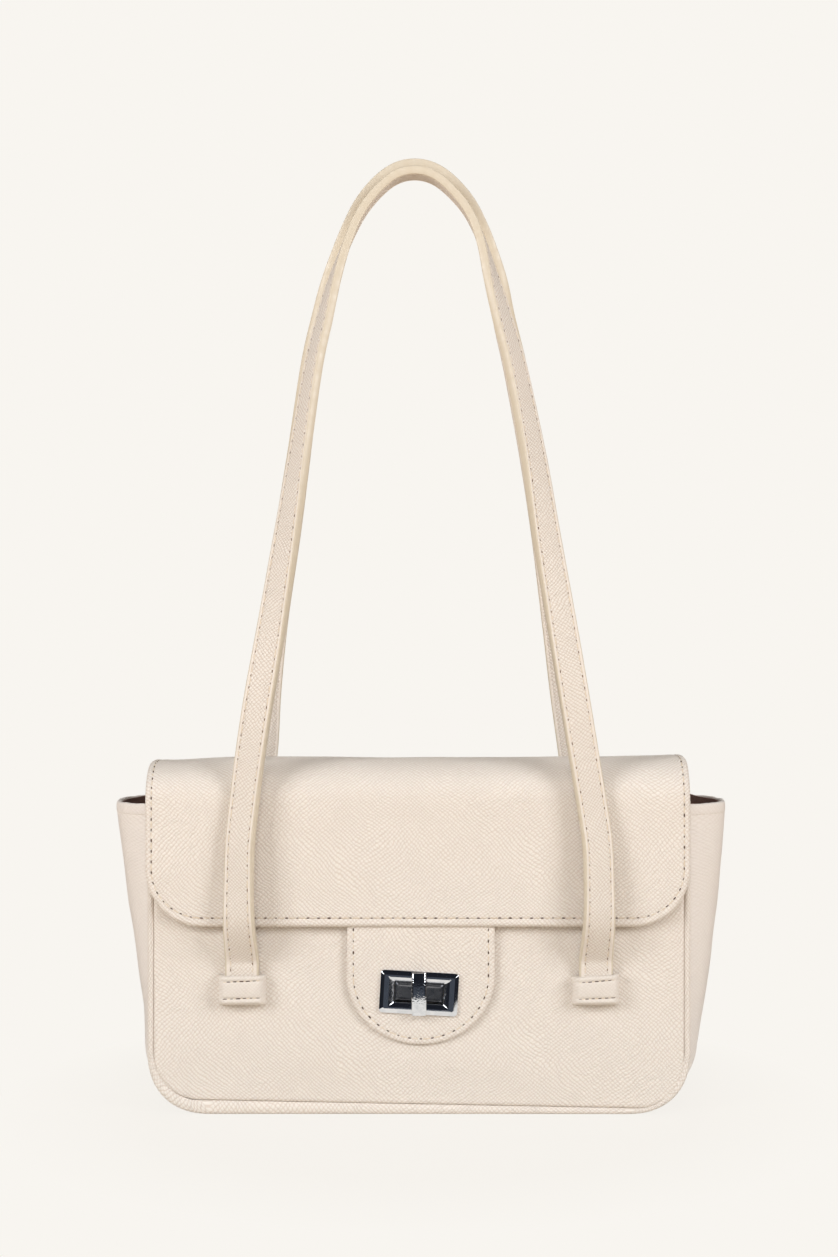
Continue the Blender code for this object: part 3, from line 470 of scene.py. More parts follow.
# Gussets: the bag's sides, one piece of leather each, bellied outwards towards the mouth.
# Round each mouth a strip of leather is folded over the raw edge and sewn down.
GUSSET_HALF = 0.0306
GUSSET_BEND = 0.0307
GUSSET_TOP = 0.1446
GUSSET_LEATHER = 0.0014
GUSSET_SEAM = 0.1293
GUSSET_FLAT = 0.1003
BINDING_HALF = 0.0302
BINDING_Z = 0.1437
BINDING_MIDDLE = 0.1467
BINDING_STEP = 0.0006
BELLY_HEIGHTS = (0.029, 0.049, 0.074, 0.099, 0.124, 0.1437)
BELLY_LEFT = (0.0060, 0.0068, 0.0108, 0.0153, 0.0185, 0.0210)
BELLY_RIGHT = (0.0082, 0.0119, 0.0160, 0.0193, 0.0218, 0.0230)
# painted shade: the sides and their bindings take a smoother, greyer copy of the cream leather, its tone
# lowered for the shade on the bag's sides
shaded_side_cream = leather("shaded_side_leather", (0.805, 0.755, 0.71), (0.655, 0.575, 0.515), (0.79, 0.73, 0.67), 0.22,
                     height=0.00018)


def bowed(half, count):
    """Distances from one side to the other, closer together towards both."""
    return [half * math.sin(math.radians(90.0) * (2.0 * c / count - 1.0)) for c in range(count + 1)]


def gusset_foot(z):
    """The seam's distance from the bag's middle and the belly's share at a height."""
    if z >= GUSSET_BEND:
        return GUSSET_SEAM, 1.0
    rise = math.sqrt(max(1.0 - ((GUSSET_BEND - z) / GUSSET_BEND) ** 2, 0.0))
    return GUSSET_FLAT + (GUSSET_SEAM - GUSSET_FLAT) * rise, rise ** 0.5


def gusset_out(y, z, side):
    """The gusset's distance from the bag's middle."""
    seam, fade = gusset_foot(z)
    bulge = float(np.interp(z, BELLY_HEIGHTS, BELLY_RIGHT if side > 0 else BELLY_LEFT))
    belly = fade * bulge * (1.0 - min(abs(y) / GUSSET_HALF, 1.0) ** 3)
    slack = fade * (1.0 - (y / GUSSET_HALF) ** 2)
    crease = 0.0011 * slack * soft(y, z, 0.028, 21.0) * (1.0 - 0.75 * ridge(z, 0.148, 0.03))
    return seam + belly + crease


for word, side in (("left", -1), ("right", 1)):
    heights = [GUSSET_BEND * (1.0 - math.cos(quarter(k, 26))) for k in range(26)]
    heights += [GUSSET_BEND + (GUSSET_TOP - GUSSET_BEND) * k / 60 for k in range(61)]
    grid = [[(y, z) for y in bowed(GUSSET_HALF, 44)] for z in heights]
    gusset = sheet_piece(word + "_gusset_leather", grid,
                         lambda y, z: (side * gusset_out(y, z, side), y, z),
                         lambda y, z: (side * (gusset_out(y, z, side) - GUSSET_LEATHER), y * 0.995,
                                       z + (0.0012 if z < 0.02 else 0.0)), shaded_side_cream, joined=False)
    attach(gusset, "body")
    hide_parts(word + "_gusset")

    rings, lay = [], []
    reach = [BINDING_HALF * (2.0 * c / 60 - 1.0) for c in range(61)]
    mouth = [(gusset_out(y, BINDING_Z, side), y) for y in reach]
    for (x, y), run in zip(mouth, lengths(mouth)):
        ahead = gusset_out(min(y + BINDING_STEP, BINDING_HALF), BINDING_Z, side)
        behind = gusset_out(max(y - BINDING_STEP, -BINDING_HALF), BINDING_Z, side)
        slope = (ahead - behind) / (2.0 * BINDING_STEP)
        length = math.hypot(1.0, slope)
        nx, ny = side / length, -slope / length
        wave = 0.0003 * soft(run, 0.0, 0.009, 31.0 + side) + 0.0002 * soft(run, 0.0, 0.004, 35.0)
        ring, marks = [], []
        for s in range(20):
            angle = math.tau * s / 20
            cs, sn = math.cos(angle), math.sin(angle)
            out = 0.00135 * math.copysign(abs(cs) ** 0.5, cs) - 0.0010 + wave
            up = 0.0029 * math.copysign(abs(sn) ** 0.62, sn)
            ring.append((side * x + nx * out, y + ny * out, BINDING_MIDDLE + up + 1.5 * wave))
            marks.append((run, up))
        rings.append(ring)
        lay.append(marks)
    binding = ring_piece(word + "_mouth_binding", rings, lay, [shaded_side_cream])
    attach(binding, "body")
    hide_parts(word + "_gusset_binding")


# Base: a strip of the body leather on a board, as long as the flat part of the bag's underside.
# Its edges are rolled in against the welts.
BASE_HALF_LENGTH = 0.0998
BASE_HALF_DEPTH = 0.0304


def base_roll(x, y):
    return 0.0008 * rolled(min(BASE_HALF_LENGTH - abs(x), BASE_HALF_DEPTH - abs(y)), 0.0012)


grid = [[(s - BASE_HALF_LENGTH, t - BASE_HALF_DEPTH) for s in graded(2.0 * BASE_HALF_LENGTH, 0.006)]
        for t in graded(2.0 * BASE_HALF_DEPTH, 0.004)]
base = sheet_piece("base_leather", grid, lambda x, y: (x, y, 0.0008 - base_roll(x, y)),
                   lambda x, y: (x, y, 0.0008 + base_roll(x, y)), cream)
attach(base, "body")
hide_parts("base_panel")


# Lining: a brown plain-woven bucket, glued to the boards and turned under the bindings.
# It is one sewn cloth, so one piece stands for the five linings of the body.
LINING_DEPTH = 0.0281
LINING_FOOT = 0.0049
LINING_CLOTH = 0.0008
weave, inlet = node_group("cloth_weave", "ShaderNodeTree", {"Place": "Vector", "Threads": "Float"},
                          {"Height": "Float", "Shade": "Float"})
counted = vec(weave, "SCALE", {0: inlet["Place"], "Scale": inlet["Threads"]})
axes = put(weave, "ShaderNodeSeparateXYZ", {0: counted}).outputs
bows = [calc(weave, "SINE", calc(weave, "MULTIPLY", axes[k], math.pi)) for k in (0, 1)]
over = spread(weave, calc(weave, "MULTIPLY", *bows), -0.25, 0.25)
warp, weft = [calc(weave, "ABSOLUTE", bow) for bow in bows]
lifted = feed(weave, "ShaderNodeMix", {0: over, 2: warp, 3: weft}, data_type="FLOAT")
slub = mottle(weave, inlet["Place"], 900.0, 2.0)[0]
put(weave, "NodeGroupOutput", {"Height": calc(weave, "MULTIPLY_ADD", slub, 0.3, lifted),
                               "Shade": calc(weave, "MULTIPLY", lifted, slub)})

brown, tree = new_finish("brown_lining")
woven = put(tree, "ShaderNodeGroup", {"Place": laid_place(tree), "Threads": 1400.0}, node_tree=weave).outputs
shaded(brown, tinted(tree, woven["Shade"], (0.21, 0.115, 0.092), (0.40, 0.26, 0.215)),
       spread(tree, woven["Height"], 0.0, 1.2, 0.92, 0.74), woven["Height"], 0.00012)


def lining_ring(share, inset):
    """One level ring of the lining, from the base at share 0 to the mouth at share 1."""
    ring = []
    for along, sign, count in ((True, -1, 56), (False, 1, 24), (True, 1, 56), (False, -1, 24)):
        for k in range(count):
            t = 2.0 * k / count - 1.0
            if along:
                x, y = -t * sign, sign
                top = 0.1511 if sign < 0 else 0.1596
            else:
                x, y = sign, sign * math.sin(math.radians(90.0) * t)
                top = 0.1488 + (0.0023 if y < 0 else 0.0108) * abs(y) ** 8
            z = LINING_FOOT + (top - LINING_FOOT) * share
            if along:
                slack = 0.0005 * (1.0 - x * x) * math.sin(math.pi * share)
                deep = LINING_DEPTH - inset - slack * (1.0 + soft(x, z, 0.25, 41.0))
                ring.append((x * (gusset_foot(z)[0] - 0.0022 - inset), y * deep, z))
            else:
                out = gusset_out(y * GUSSET_HALF, z, sign) - 0.0024 - inset
                ring.append((x * out, y * (LINING_DEPTH - inset), z))
    return ring, [(run, z) for run, (_, _, z) in zip(lengths([(x, y) for x, y, _ in ring]), ring)]


rings, lay = [], []
shares = [0.0, 0.01, 0.025, 0.045, 0.07, 0.1, 0.13, *[0.16 + 0.81 * k / 20 for k in range(21)], 0.985, 1.0]
for inset, order in ((0.0, shares), (LINING_CLOTH, list(reversed(shares)))):
    for share in order:
        ring, marks = lining_ring(share, inset)
        rings.append([(x, y, z + inset * (1.0 - share)) for x, y, z in ring])
        lay.append(marks)
bucket = ring_piece("brown_cloth_bucket", rings, lay, [brown])
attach(bucket, "body")
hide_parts("front_lining", "back_lining", "left_lining", "right_lining", "base_lining")


# Boards: grey stiffeners glued behind the leather, hidden when the bag is made up.
# The front panel's top edge is bound with a thin strip of warmer leather.
def refinish(node, made):
    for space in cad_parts[node].material_slots:
        space.link = "OBJECT"
        space.material = made


pressed_board, tree = new_finish("pressed_board")
fibre = mottle(tree, solid_place(tree), 700.0, 5.0)[0]
shaded(pressed_board, tinted(tree, spread(tree, fibre, 0.3, 0.7), (0.30, 0.27, 0.23), (0.50, 0.46, 0.40)),
       spread(tree, fibre, 0.2, 0.8, 0.85, 0.97), fibre, 0.0001, 0.7)
for node in ("front_board", "back_board", "base_board"):
    refinish(node, pressed_board)
refinish("front_top_binding", leather("binding_leather", (0.845, 0.745, 0.625), (0.62, 0.49, 0.36),
                                      (0.82, 0.705, 0.575), where=solid_place))


# Flap: leather over a thin board, sewn to the back panel, folded over the top and rolled down
# the front. Its edge is turned, padded and stitched all round, and brown cloth lines it.
FLAP_HALF = 0.1311
FLAP_X = -0.0006
FLAP_CORNER = 0.0275
FLAP_FLAT = FLAP_HALF - FLAP_CORNER
FLAP_STEP = 0.0026
FLAP_ROLL = 0.0017
FLAP_STITCH = 0.0031
CLOTH_START = 0.034
CLOTH_INSET = 0.0037
flap_marks = [(0.0359, 0.1370), (0.0359, 0.1465), (0.0359, 0.1560), (0.0355, 0.1592), (0.0343, 0.1619),
              (0.0322, 0.1640), (0.0290, 0.1656), (0.0235, 0.1673), (0.0170, 0.1687), (0.0100, 0.1698),
              (0.0030, 0.1706), (-0.0040, 0.1711), (-0.0110, 0.1713)]
flap_marks += [(-0.0170 - 0.0229 * math.sin(quarter(k, 20)), 0.1528 + 0.0184 * math.cos(quarter(k, 20)))
               for k in range(1, 21)]
flap_marks += [(-0.0399, 0.1400), (-0.0399, 0.0915)]
flap_table = []
for k, ((y, z), run) in enumerate(zip(flap_marks, lengths(flap_marks))):
    ay, az = flap_marks[max(k - 1, 0)]
    by, bz = flap_marks[min(k + 1, len(flap_marks) - 1)]
    if abs(y) > 0.0398:
        ay, az, by, bz = y, 1.0, y, 0.0
    size = math.hypot(by - ay, bz - az)
    flap_table.append((run, y, z, (bz - az) / size, (ay - by) / size))
flap_table = np.array(flap_table)
FLAP_RUN = float(flap_table[-1, 0])


def flap_line(v):
    """The point of the flap's outer line at a length from its sewn end, and the way it faces."""
    y, z, ny, nz = [float(np.interp(v, flap_table[:, 0], flap_table[:, k])) for k in (1, 2, 3, 4)]
    size = math.hypot(ny, nz)
    return y, z, ny / size, nz / size


def flap_half(v, inset=0.0):
    """The half width: a little more over the top, drawn in at the lower corners and by an inset."""
    left = FLAP_RUN - v
    half = FLAP_HALF + 0.0004 * eased((left - 0.070) / 0.02) - inset
    return half - drawn_in(left - inset, FLAP_CORNER - inset)


def flap_rim(x, v):
    return rim_distance(x, FLAP_RUN - v, v, flap_half(v), FLAP_FLAT, FLAP_CORNER)


def flap_inset(left):
    """The stitch row's distance from the rim: more along the bottom than at the sides."""
    return FLAP_STITCH + 0.0014 * held((FLAP_CORNER - left) / FLAP_CORNER) ** 2


def flap_thick(v):
    stops = (0.0, 0.020, 0.036, 0.060, 0.105, FLAP_RUN)
    return float(np.interp(v, stops, (0.0015, 0.0016, 0.0026, 0.0042, 0.0046, 0.0046)))


def corner_lift(x, left):
    """The top isn't quite level: its left corner sits lower and its right one a little higher."""
    high, low = held((x - 0.05) / 0.078) ** 2, eased((-x - 0.080) / 0.048)
    return held((left - 0.058) / 0.025) * (0.0009 * high - 0.0016 * low)


def flap_point(x, v, lift=0.0):
    """A point on the flap's outer face, with its padded rim, stitch groove and soft dents."""
    y, z, ny, nz = flap_line(v)
    d = flap_rim(x, v)
    left = FLAP_RUN - v
    groove = flap_inset(left)
    puff = 0.00022 * ridge(d, groove * 0.5, 0.0010) - 0.00034 * ridge(d, groove, 0.0005)
    puff += 0.00016 * ridge(d, groove + 0.0028, 0.0022)
    dents = 0.00045 * soft(x, v, 0.045, 11.0) + 0.0002 * soft(x, v, 0.018, 12.0)
    for middle in (-0.058, 0.058):
        dents -= 0.0009 * ridge(x, middle, 0.017) * ridge(left, 0.052, 0.028)
    dents -= 0.0007 * ridge(x, 0.0, 0.075) * ridge(left, 0.083, 0.020)
    out = flap_thick(v) / 2.0 * (rolled(d, FLAP_ROLL) - 1.0) + puff + dents * held((d - 0.004) / 0.012) + lift
    return x + FLAP_X, y + ny * out, z + nz * out + corner_lift(x, left)


def under_flap(x, v, deep, left):
    """A point at a depth below the flap's outer line."""
    y, z, ny, nz = flap_line(v)
    return x + FLAP_X, y - ny * deep, z - nz * deep + corner_lift(x, left)


def flap_back(x, v):
    return under_flap(x, v, flap_thick(v) / 2.0 * (1.0 + rolled(flap_rim(x, v), FLAP_ROLL)), FLAP_RUN - v)


def cloth_face(deeper):
    """One face of the cloth, at a depth below the leather."""
    return lambda x, v: under_flap(x, v, flap_thick(v) + deeper, FLAP_RUN - CLOTH_INSET - v)


grid = [[(flap_half(v) * (s / FLAP_HALF - 1.0), v) for s in graded(2.0 * FLAP_HALF, FLAP_STEP)]
        for v in graded(FLAP_RUN, FLAP_STEP)]
flap = sheet_piece("flap_leather", grid, flap_point, flap_back, cream, lambda x, v: (x, FLAP_RUN - v))
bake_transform(flap)
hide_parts("flap_outer", "flap_board", "flap_hinge_strip")

grid = []
for k in range(71):
    v = CLOTH_START + (FLAP_RUN - CLOTH_INSET - CLOTH_START) * k / 70
    grid.append([(flap_half(v, CLOTH_INSET) * (2.0 * c / 60 - 1.0), v) for c in range(61)])
flap_cloth = sheet_piece("flap_cloth", grid, cloth_face(0.00005), cloth_face(0.00065), brown, joined=False)
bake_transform(flap_cloth)
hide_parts("flap_lining")


# Tab: a padded leather tongue sewn under the flap's lower edge, lined with thin leather.
# It carries the lock's frame in a window cut through both layers.
TAB_X = 0.0009
TAB_HALF = 0.0356
TAB_CURVE_Z = 0.0675
TAB_DROP = 0.0328
TAB_TOP = 0.0935
TAB_PLANE = 0.0368
TAB_BULGE = 0.0009
TAB_ROLL = 0.0016
TAB_STITCH = 0.0031
WINDOW_HALF = (0.0132, 0.0063)
LOCK_Z = 0.0598
TILT_COS, TILT_SIN = math.cos(math.radians(3.3)), math.sin(math.radians(3.3))


def tab_line(inset):
    """The tab's outline, from the middle of the top edge round and back, drawn in by inset."""
    half, drop, top = TAB_HALF - inset, TAB_DROP - inset, TAB_TOP - inset
    steps = [(half * k / 12, top) for k in range(12)]
    steps += [(half, top - (top - TAB_CURVE_Z) * k / 16) for k in range(16)]
    steps += [(half * math.cos(quarter(k, 52)), TAB_CURVE_Z - drop * math.sin(quarter(k, 52)))
              for k in range(52)]
    steps += [(0.0, TAB_CURVE_Z - drop)]
    steps += [(-x, z) for x, z in reversed(steps[1:-1])]
    return [(TAB_X + x, z) for x, z in steps]


def leaning(x, z):
    """A point given from the lock's middle, turned by the lock's slight tilt."""
    return x * TILT_COS + z * TILT_SIN, LOCK_Z - x * TILT_SIN + z * TILT_COS


def window_point(x, z):
    """The point of the lock's window that faces a point of the tab's outline."""
    dx = x * TILT_COS - (z - LOCK_Z) * TILT_SIN
    dz = x * TILT_SIN + (z - LOCK_Z) * TILT_COS
    stretch = 1.0 / (abs(dx / WINDOW_HALF[0]) ** 6 + abs(dz / WINDOW_HALF[1]) ** 6) ** (1.0 / 6.0)
    return leaning(dx * stretch, dz * stretch)


def tab_rim(x, z):
    """Distance to the tab's sides and round end. The top edge is hidden in the flap's seam."""
    if z > TAB_CURVE_Z:
        return TAB_HALF - abs(x - TAB_X)
    ratio = math.hypot((x - TAB_X) / TAB_HALF, (z - TAB_CURVE_Z) / TAB_DROP)
    slope = math.hypot((x - TAB_X) / TAB_HALF ** 2, (z - TAB_CURVE_Z) / TAB_DROP ** 2) / max(ratio, 1e-6)
    return (1.0 - ratio) / max(slope, 1e-6)


def tab_depth(x, z):
    """How far the tab's face stands out: a padded rim, a stitch groove and a soft crown."""
    d = tab_rim(x, z)
    crown = (0.0003 + 0.00016 * soft(x, z, 0.014, 51.0)) * held(d / 0.012)
    rim = 0.00010 * ridge(d, 0.0015, 0.0008) - 0.00018 * ridge(d, TAB_STITCH, 0.00045)
    return TAB_PLANE + TAB_BULGE * rolled(d, TAB_ROLL) + crown + rim


def tab_under(x, z):
    return TAB_PLANE - TAB_BULGE * rolled(tab_rim(x, z), TAB_ROLL)


def tab_layer(name, outline, faces, raised=0.0):
    """A layer from the tab's outline to its window, from the depth of its faces and their steps."""
    rings, lay = [], []
    for depth_at, shares in faces:
        for share in shares:
            ring = [(a + (c - a) * share, b + (d - b) * share) for (a, b), (c, d) in zip(outline, window)]
            rings.append([(x, -depth_at(x, z), z) for x, z in ring])
            lay.append([(x, z + raised) for x, z in ring])
    return ring_piece(name, rings, lay, [cream], ends="round")


border = tab_line(0.0)
window = [window_point(x, z) for x, z in border]
shares = [e / 0.0180 for e in EDGES] + [0.62, 0.74, 0.86, 0.94, 0.98, 1.0]
tab = tab_layer("tab_leather", border, ((tab_depth, shares), (tab_under, shares[::-1])), 0.0013)
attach(tab, "flap")
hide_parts("tab_outer")

shares = [0.0, 0.25, 0.5, 0.75, 1.0]
tab_back = tab_layer("tab_back_leather", tab_line(0.0009), ((lambda x, z: 0.0358, shares),
                                                            (lambda x, z: 0.0352, shares[::-1])))
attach(tab_back, "flap")
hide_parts("tab_lining")


# Turn lock: a polished frame clamped in the tab's window, a plated seat on the front panel and a
# bar that turns across the window to hold the tab.
BAR_HALF = 0.00345
BAR_HALF_LENGTH = 0.0102
BAR_BACK = 0.0411


def metal(name, colour, stain, low, high, scale, relief=0.00001, grit=2600.0):
    """Plated metal with small pits and a varying shine."""
    made, tree = new_finish(name)
    cloudy = mottle(tree, solid_place(tree), scale, 3.0)[0]
    tone = tinted(tree, spread(tree, cloudy, 0.35, 0.75), colour, stain)
    pits = mottle(tree, solid_place(tree), grit, 1.0)[0]
    shader = shaded(made, tone, spread(tree, cloudy, 0.3, 0.7, low, high), pits, relief, 0.5)
    shader["Metallic"].default_value = 1.0
    return made


chrome = metal("polished_chrome", (0.80, 0.81, 0.83), (0.70, 0.715, 0.745), 0.05, 0.12, 260.0)
dark_plate = metal("dark_plated_seat", (0.23, 0.235, 0.25), (0.16, 0.165, 0.18), 0.22, 0.34, 400.0)
crinkled = metal("crinkled_chrome", (0.80, 0.81, 0.83), (0.66, 0.68, 0.71), 0.05, 0.14, 500.0,
                 0.00022, 1100.0)
steel = metal("plated_steel", (0.55, 0.56, 0.57), (0.40, 0.41, 0.42), 0.28, 0.42, 300.0)


def frame_line(half_x, half_z, corner):
    """A rounded rectangle about the lock's middle."""
    points = []
    for index, (sx, sz) in enumerate(((1, 1), (-1, 1), (-1, -1), (1, -1))):
        for k in range(9):
            angle = math.radians(90.0) * (index + k / 8)
            points.append(leaning(sx * (half_x - corner) + corner * math.cos(angle),
                                  sz * (half_z - corner) + corner * math.sin(angle)))
    return points


def flat_lay(rings):
    return [[(x, z) for x, _, z in ring] for ring in rings]


def frame_piece(name, profile, made, ends="round"):
    """A frame or block through rounded rectangles, given in hundredths of a millimetre as half
    width, half height, corner and distance from the bag's middle."""
    rings = []
    for row in profile:
        half_x, half_z, corner, out = [value * 1e-5 for value in row]
        rings.append([(x, -out, z) for x, z in frame_line(half_x, half_z, corner)])
    return ring_piece(name, rings, flat_lay(rings), [made], ends, sharp=24.0)


bezel = frame_piece("lock_frame", (
    (1885, 1030, 170, 3765), (1885, 1030, 170, 3905), (1875, 1020, 160, 3918), (1708, 853, 100, 4012),
    (1690, 835, 90, 4020), (1668, 815, 80, 4022), (1462, 722, 80, 4022), (1440, 706, 80, 4012),
    (1250, 556, 60, 3892), (1218, 524, 50, 3865), (1205, 510, 40, 3835), (1205, 510, 40, 3520),
    (1285, 590, 80, 3520), (1285, 590, 80, 3765)), chrome)
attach(bezel, "flap")
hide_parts("lock_bezel")

seat = frame_piece("lock_seat", (
    (1185, 490, 40, 3435), (1185, 490, 40, 3600), (1135, 440, 40, 3615), (1135, 440, 40, 3755),
    (1120, 425, 40, 3775), (1050, 355, 40, 3830), (1035, 340, 30, 3833), (1000, 305, 30, 3818),
    (500, 250, 30, 3818)), dark_plate, "closed")
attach(seat, "body")
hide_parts("lock_base_plate")

rings = []
for k in range(25):
    share = 2.0 * k / 24 - 1.0
    arch = 0.0034 - 0.0017 * share * share
    full = 0.86 + 0.14 * rolled(1.0 - abs(share), 0.04)
    side = [(inset - BAR_HALF, (arch - drop) * full) for inset, drop in (
        (0.0, arch), (0.0, 0.00062), (0.00012, 0.00048), (0.00068, 0.00006), (0.00085, 0.0))]
    side += [(-x, y) for x, y in reversed(side)]
    rings.append([(x, -BAR_BACK - y, LOCK_Z + BAR_HALF_LENGTH * share) for x, y in side])
knob = ring_piece("lock_bar", rings, flat_lay(rings), [crinkled], sharp=24.0)
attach(knob, "lock_knob")
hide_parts("lock_knob")
for node in ("lock_bezel_back", "lock_inner_plate", "lock_spring_washer", "lock_spindle",
             "lock_spindle_clip"):
    refinish(node, steel)


# Stitches: waxed cream thread sewn through punched holes, in every seam that shows. One tree lays
# small threads along a line, with a dark bead between each two: painted shade where the thread dips into its
# needle hole.
THREAD_RADIUS = 0.00028
LIFT = 0.00004
stitcher, inlet = node_group("stitch_row", "GeometryNodeTree",
                             {"Geometry": "Geometry", "Pitch": "Float", "Thread Radius": "Float",
                              "Thread Length": "Float", "Hole Radius": "Float", "Hole Length": "Float",
                              "Thread": "Material", "Hole": "Material"}, {"Geometry": "Geometry"})
line = feed(stitcher, "GeometryNodeMeshToCurve", {0: inlet["Geometry"]})
half_pitch = calc(stitcher, "MULTIPLY", inlet["Pitch"], 0.5)
spaced = put(stitcher, "GeometryNodeCurveToPoints", {"Curve": line, "Length": half_pitch}, mode="LENGTH")
dots = spaced.outputs
odd = calc(stitcher, "MODULO", feed(stitcher, "GeometryNodeInputIndex"), 2.0)
even = calc(stitcher, "LESS_THAN", odd, 0.5)
bead = put(stitcher, "GeometryNodeMeshUVSphere", {"Segments": 6, "Rings": 5, "Radius": 1.0}).outputs["Mesh"]
tight = put(stitcher, "FunctionNodeRandomValue", {2: 0.70, 3: 1.15, "Seed": 7}, data_type="FLOAT").outputs[1]
parts = []
for word, chosen in (("Thread", odd), ("Hole", even)):
    radius = inlet[word + " Radius"]
    size = feed(stitcher, "ShaderNodeCombineXYZ", {0: radius, 1: radius, 2: inlet[word + " Length"]})
    shaped = feed(stitcher, "GeometryNodeTransform", {"Geometry": bead, "Scale": size})
    laid_out = feed(stitcher, "GeometryNodeInstanceOnPoints",
                    {"Points": dots["Points"], "Selection": chosen, "Instance": shaped,
                     "Rotation": dots["Rotation"], "Scale": tight})
    solid = feed(stitcher, "GeometryNodeRealizeInstances", {0: laid_out})
    parts.append(feed(stitcher, "GeometryNodeSetMaterial", {"Geometry": solid, "Material": inlet[word]}))
joined = put(stitcher, "GeometryNodeJoinGeometry")
for part in reversed(parts):
    stitcher.links.new(part, joined.inputs[0])
put(stitcher, "NodeGroupOutput", {0: joined.outputs[0]})


def thread_finish(name, colour, dark):
    made, tree = new_finish(name)
    fuzz = mottle(tree, solid_place(tree), 2400.0, 3.0)[0]
    tone = tinted(tree, spread(tree, fuzz, 0.3, 0.7), colour, dark)
    shader = shaded(made, tone, spread(tree, fuzz, 0.3, 0.7, 0.7, 0.85), fuzz, 0.00008, 0.8)
    shader["Specular IOR Level"].default_value = 0.12
    return made


cream_thread = thread_finish("cream_thread", (0.80, 0.71, 0.58), (0.68, 0.57, 0.44))
# painted shade: dark beads where the thread dips into its needle holes, fainter on the straps
hole_shade = thread_finish("hole_shade", (0.10, 0.052, 0.028), (0.04, 0.021, 0.012))
faint_hole_shade = thread_finish("faint_needle_shade", (0.34, 0.24, 0.17), (0.13, 0.08, 0.055))


def stitches(name, lines, pitch, hole=0.00033, hole_length=0.00080, mouth=hole_shade):
    """Runs the stitch tree along lines of points and keeps the result as a plain mesh."""
    points, edges = [], []
    for line in lines:
        edges += [(k, k + 1) for k in range(len(points), len(points) + len(line) - 1)]
        points += [tuple(p) for p in line]
    mesh = bpy.data.meshes.new(name + "_lines")
    mesh.from_pydata(points, edges, [])
    guide = placed(name + "_guide", mesh)
    sewn = guide.modifiers.new("stitch_row", "NODES")
    sewn.node_group = stitcher
    wanted = {"Pitch": pitch, "Thread Radius": THREAD_RADIUS, "Thread Length": pitch * 0.33,
              "Hole Radius": hole, "Hole Length": hole_length, "Thread": cream_thread, "Hole": mouth}
    for item in stitcher.interface.items_tree:
        if item.in_out == "INPUT" and item.name in wanted:
            sewn[item.identifier] = wanted[item.name]
    ready = guide.evaluated_get(bpy.context.evaluated_depsgraph_get())
    result = bpy.data.meshes.new_from_object(ready)
    result.name = name
    guide.modifiers.clear()
    bpy.data.objects.remove(guide)
    result.shade_smooth()
    return placed(name, result)


# Straps: two leathers glued back to back, the cut edge painted pale yellow, with a row of
# stitches along each side. They rise from the keepers and turn edge-on towards the top.
STRAP_X = 0.0852
STRAP_HALF = 0.0072
STRAP_ROOT_Y = 0.0367
STRAP_TOP_Y = 0.0084
STRAP_SEAM = 0.0053
STRAP_SEAM_FOOT = 0.0690
CURVE_Z = 0.0753
SPREAD_SHARES = (1.0, 1.006, 1.006, 1.0, 0.979, 0.948, 0.899, 0.827, 0.741, 0.672, 0.594,
                 0.531, 0.473, 0.393, 0.310, 0.208, 0.108, 0.0)
RISE_SHARES = (0.0, 0.049, 0.0935, 0.147, 0.1966, 0.2534, 0.3256, 0.4163, 0.5326, 0.6326, 0.744,
               0.806, 0.8578, 0.9096, 0.9484, 0.9772, 0.9945, 1.0)
DEPTH_SHARES = (1.0, 1.378, 1.385, 1.339, 1.261, 1.219, 1.163, 1.060, 0.908, 0.749, 0.541,
                0.413, 0.280, 0.150, 0.060, 0.015, 0.0, 0.0)
BOW_SHARES = (0.0, 0.0, 0.0, 0.0, 0.05, 0.15, 0.5, 0.85, 1.0, 1.0, 0.95, 0.9, 0.8, 0.7, 0.6, 0.45,
              0.2, 0.0)
FRONT_LEFT = (0,) * 18
FRONT_RIGHT = (0, 0, 0, -0.1, -0.8, -1.6, -1.8, -1.2, -1.1, -0.8, -1.9, -2.5, -2.5, -0.7, 0, 0, 0, 0)
REAR_LEFT = (0, 0, 0, 0, 0.3, 0.5, -0.5, -1.3, -0.4, 0, 0, 0, 0, 0, 0, 0, 0, 0)
REAR_RIGHT = (0, 0, 0, 0, -0.8, -1.6, -2.7, -2.1, -1.2, -1.8, -3.6, -3.7, -1.9, -0.5, 0, 0, 0, 0)
TURNS = ((0, 2), (0.02, 5), (0.05, 11), (0.08, 16), (0.14, 21), (0.20, 19), (0.276, 15), (0.33, 14),
         (0.39, 19), (0.455, 27), (0.517, 33), (0.58, 41), (0.643, 49), (0.707, 54), (0.77, 58), (0.80, 60),
         (0.836, 66), (0.862, 72), (0.891, 80), (0.93, 87), (1, 90))
strap_cream = leather("strap_leather", (0.785, 0.735, 0.67), (0.55, 0.435, 0.35), (0.765, 0.70, 0.63), 0.55,
                      size=0.0019, height=0.00021)
margin = leather("strap_margin", (0.775, 0.71, 0.64), (0.66, 0.57, 0.49), (0.755, 0.685, 0.60), 0.15,
                 height=0.00010)
painted, tree = new_finish("painted_edge")
uneven = mottle(tree, laid_place(tree), 260.0, 3.0)[0]
shaded(painted, tinted(tree, spread(tree, uneven, 0.30, 0.85), (0.655, 0.585, 0.47), (0.62, 0.54, 0.415)),
       spread(tree, uneven, 0.3, 0.7, 0.32, 0.48), uneven, 0.00005, 0.5)


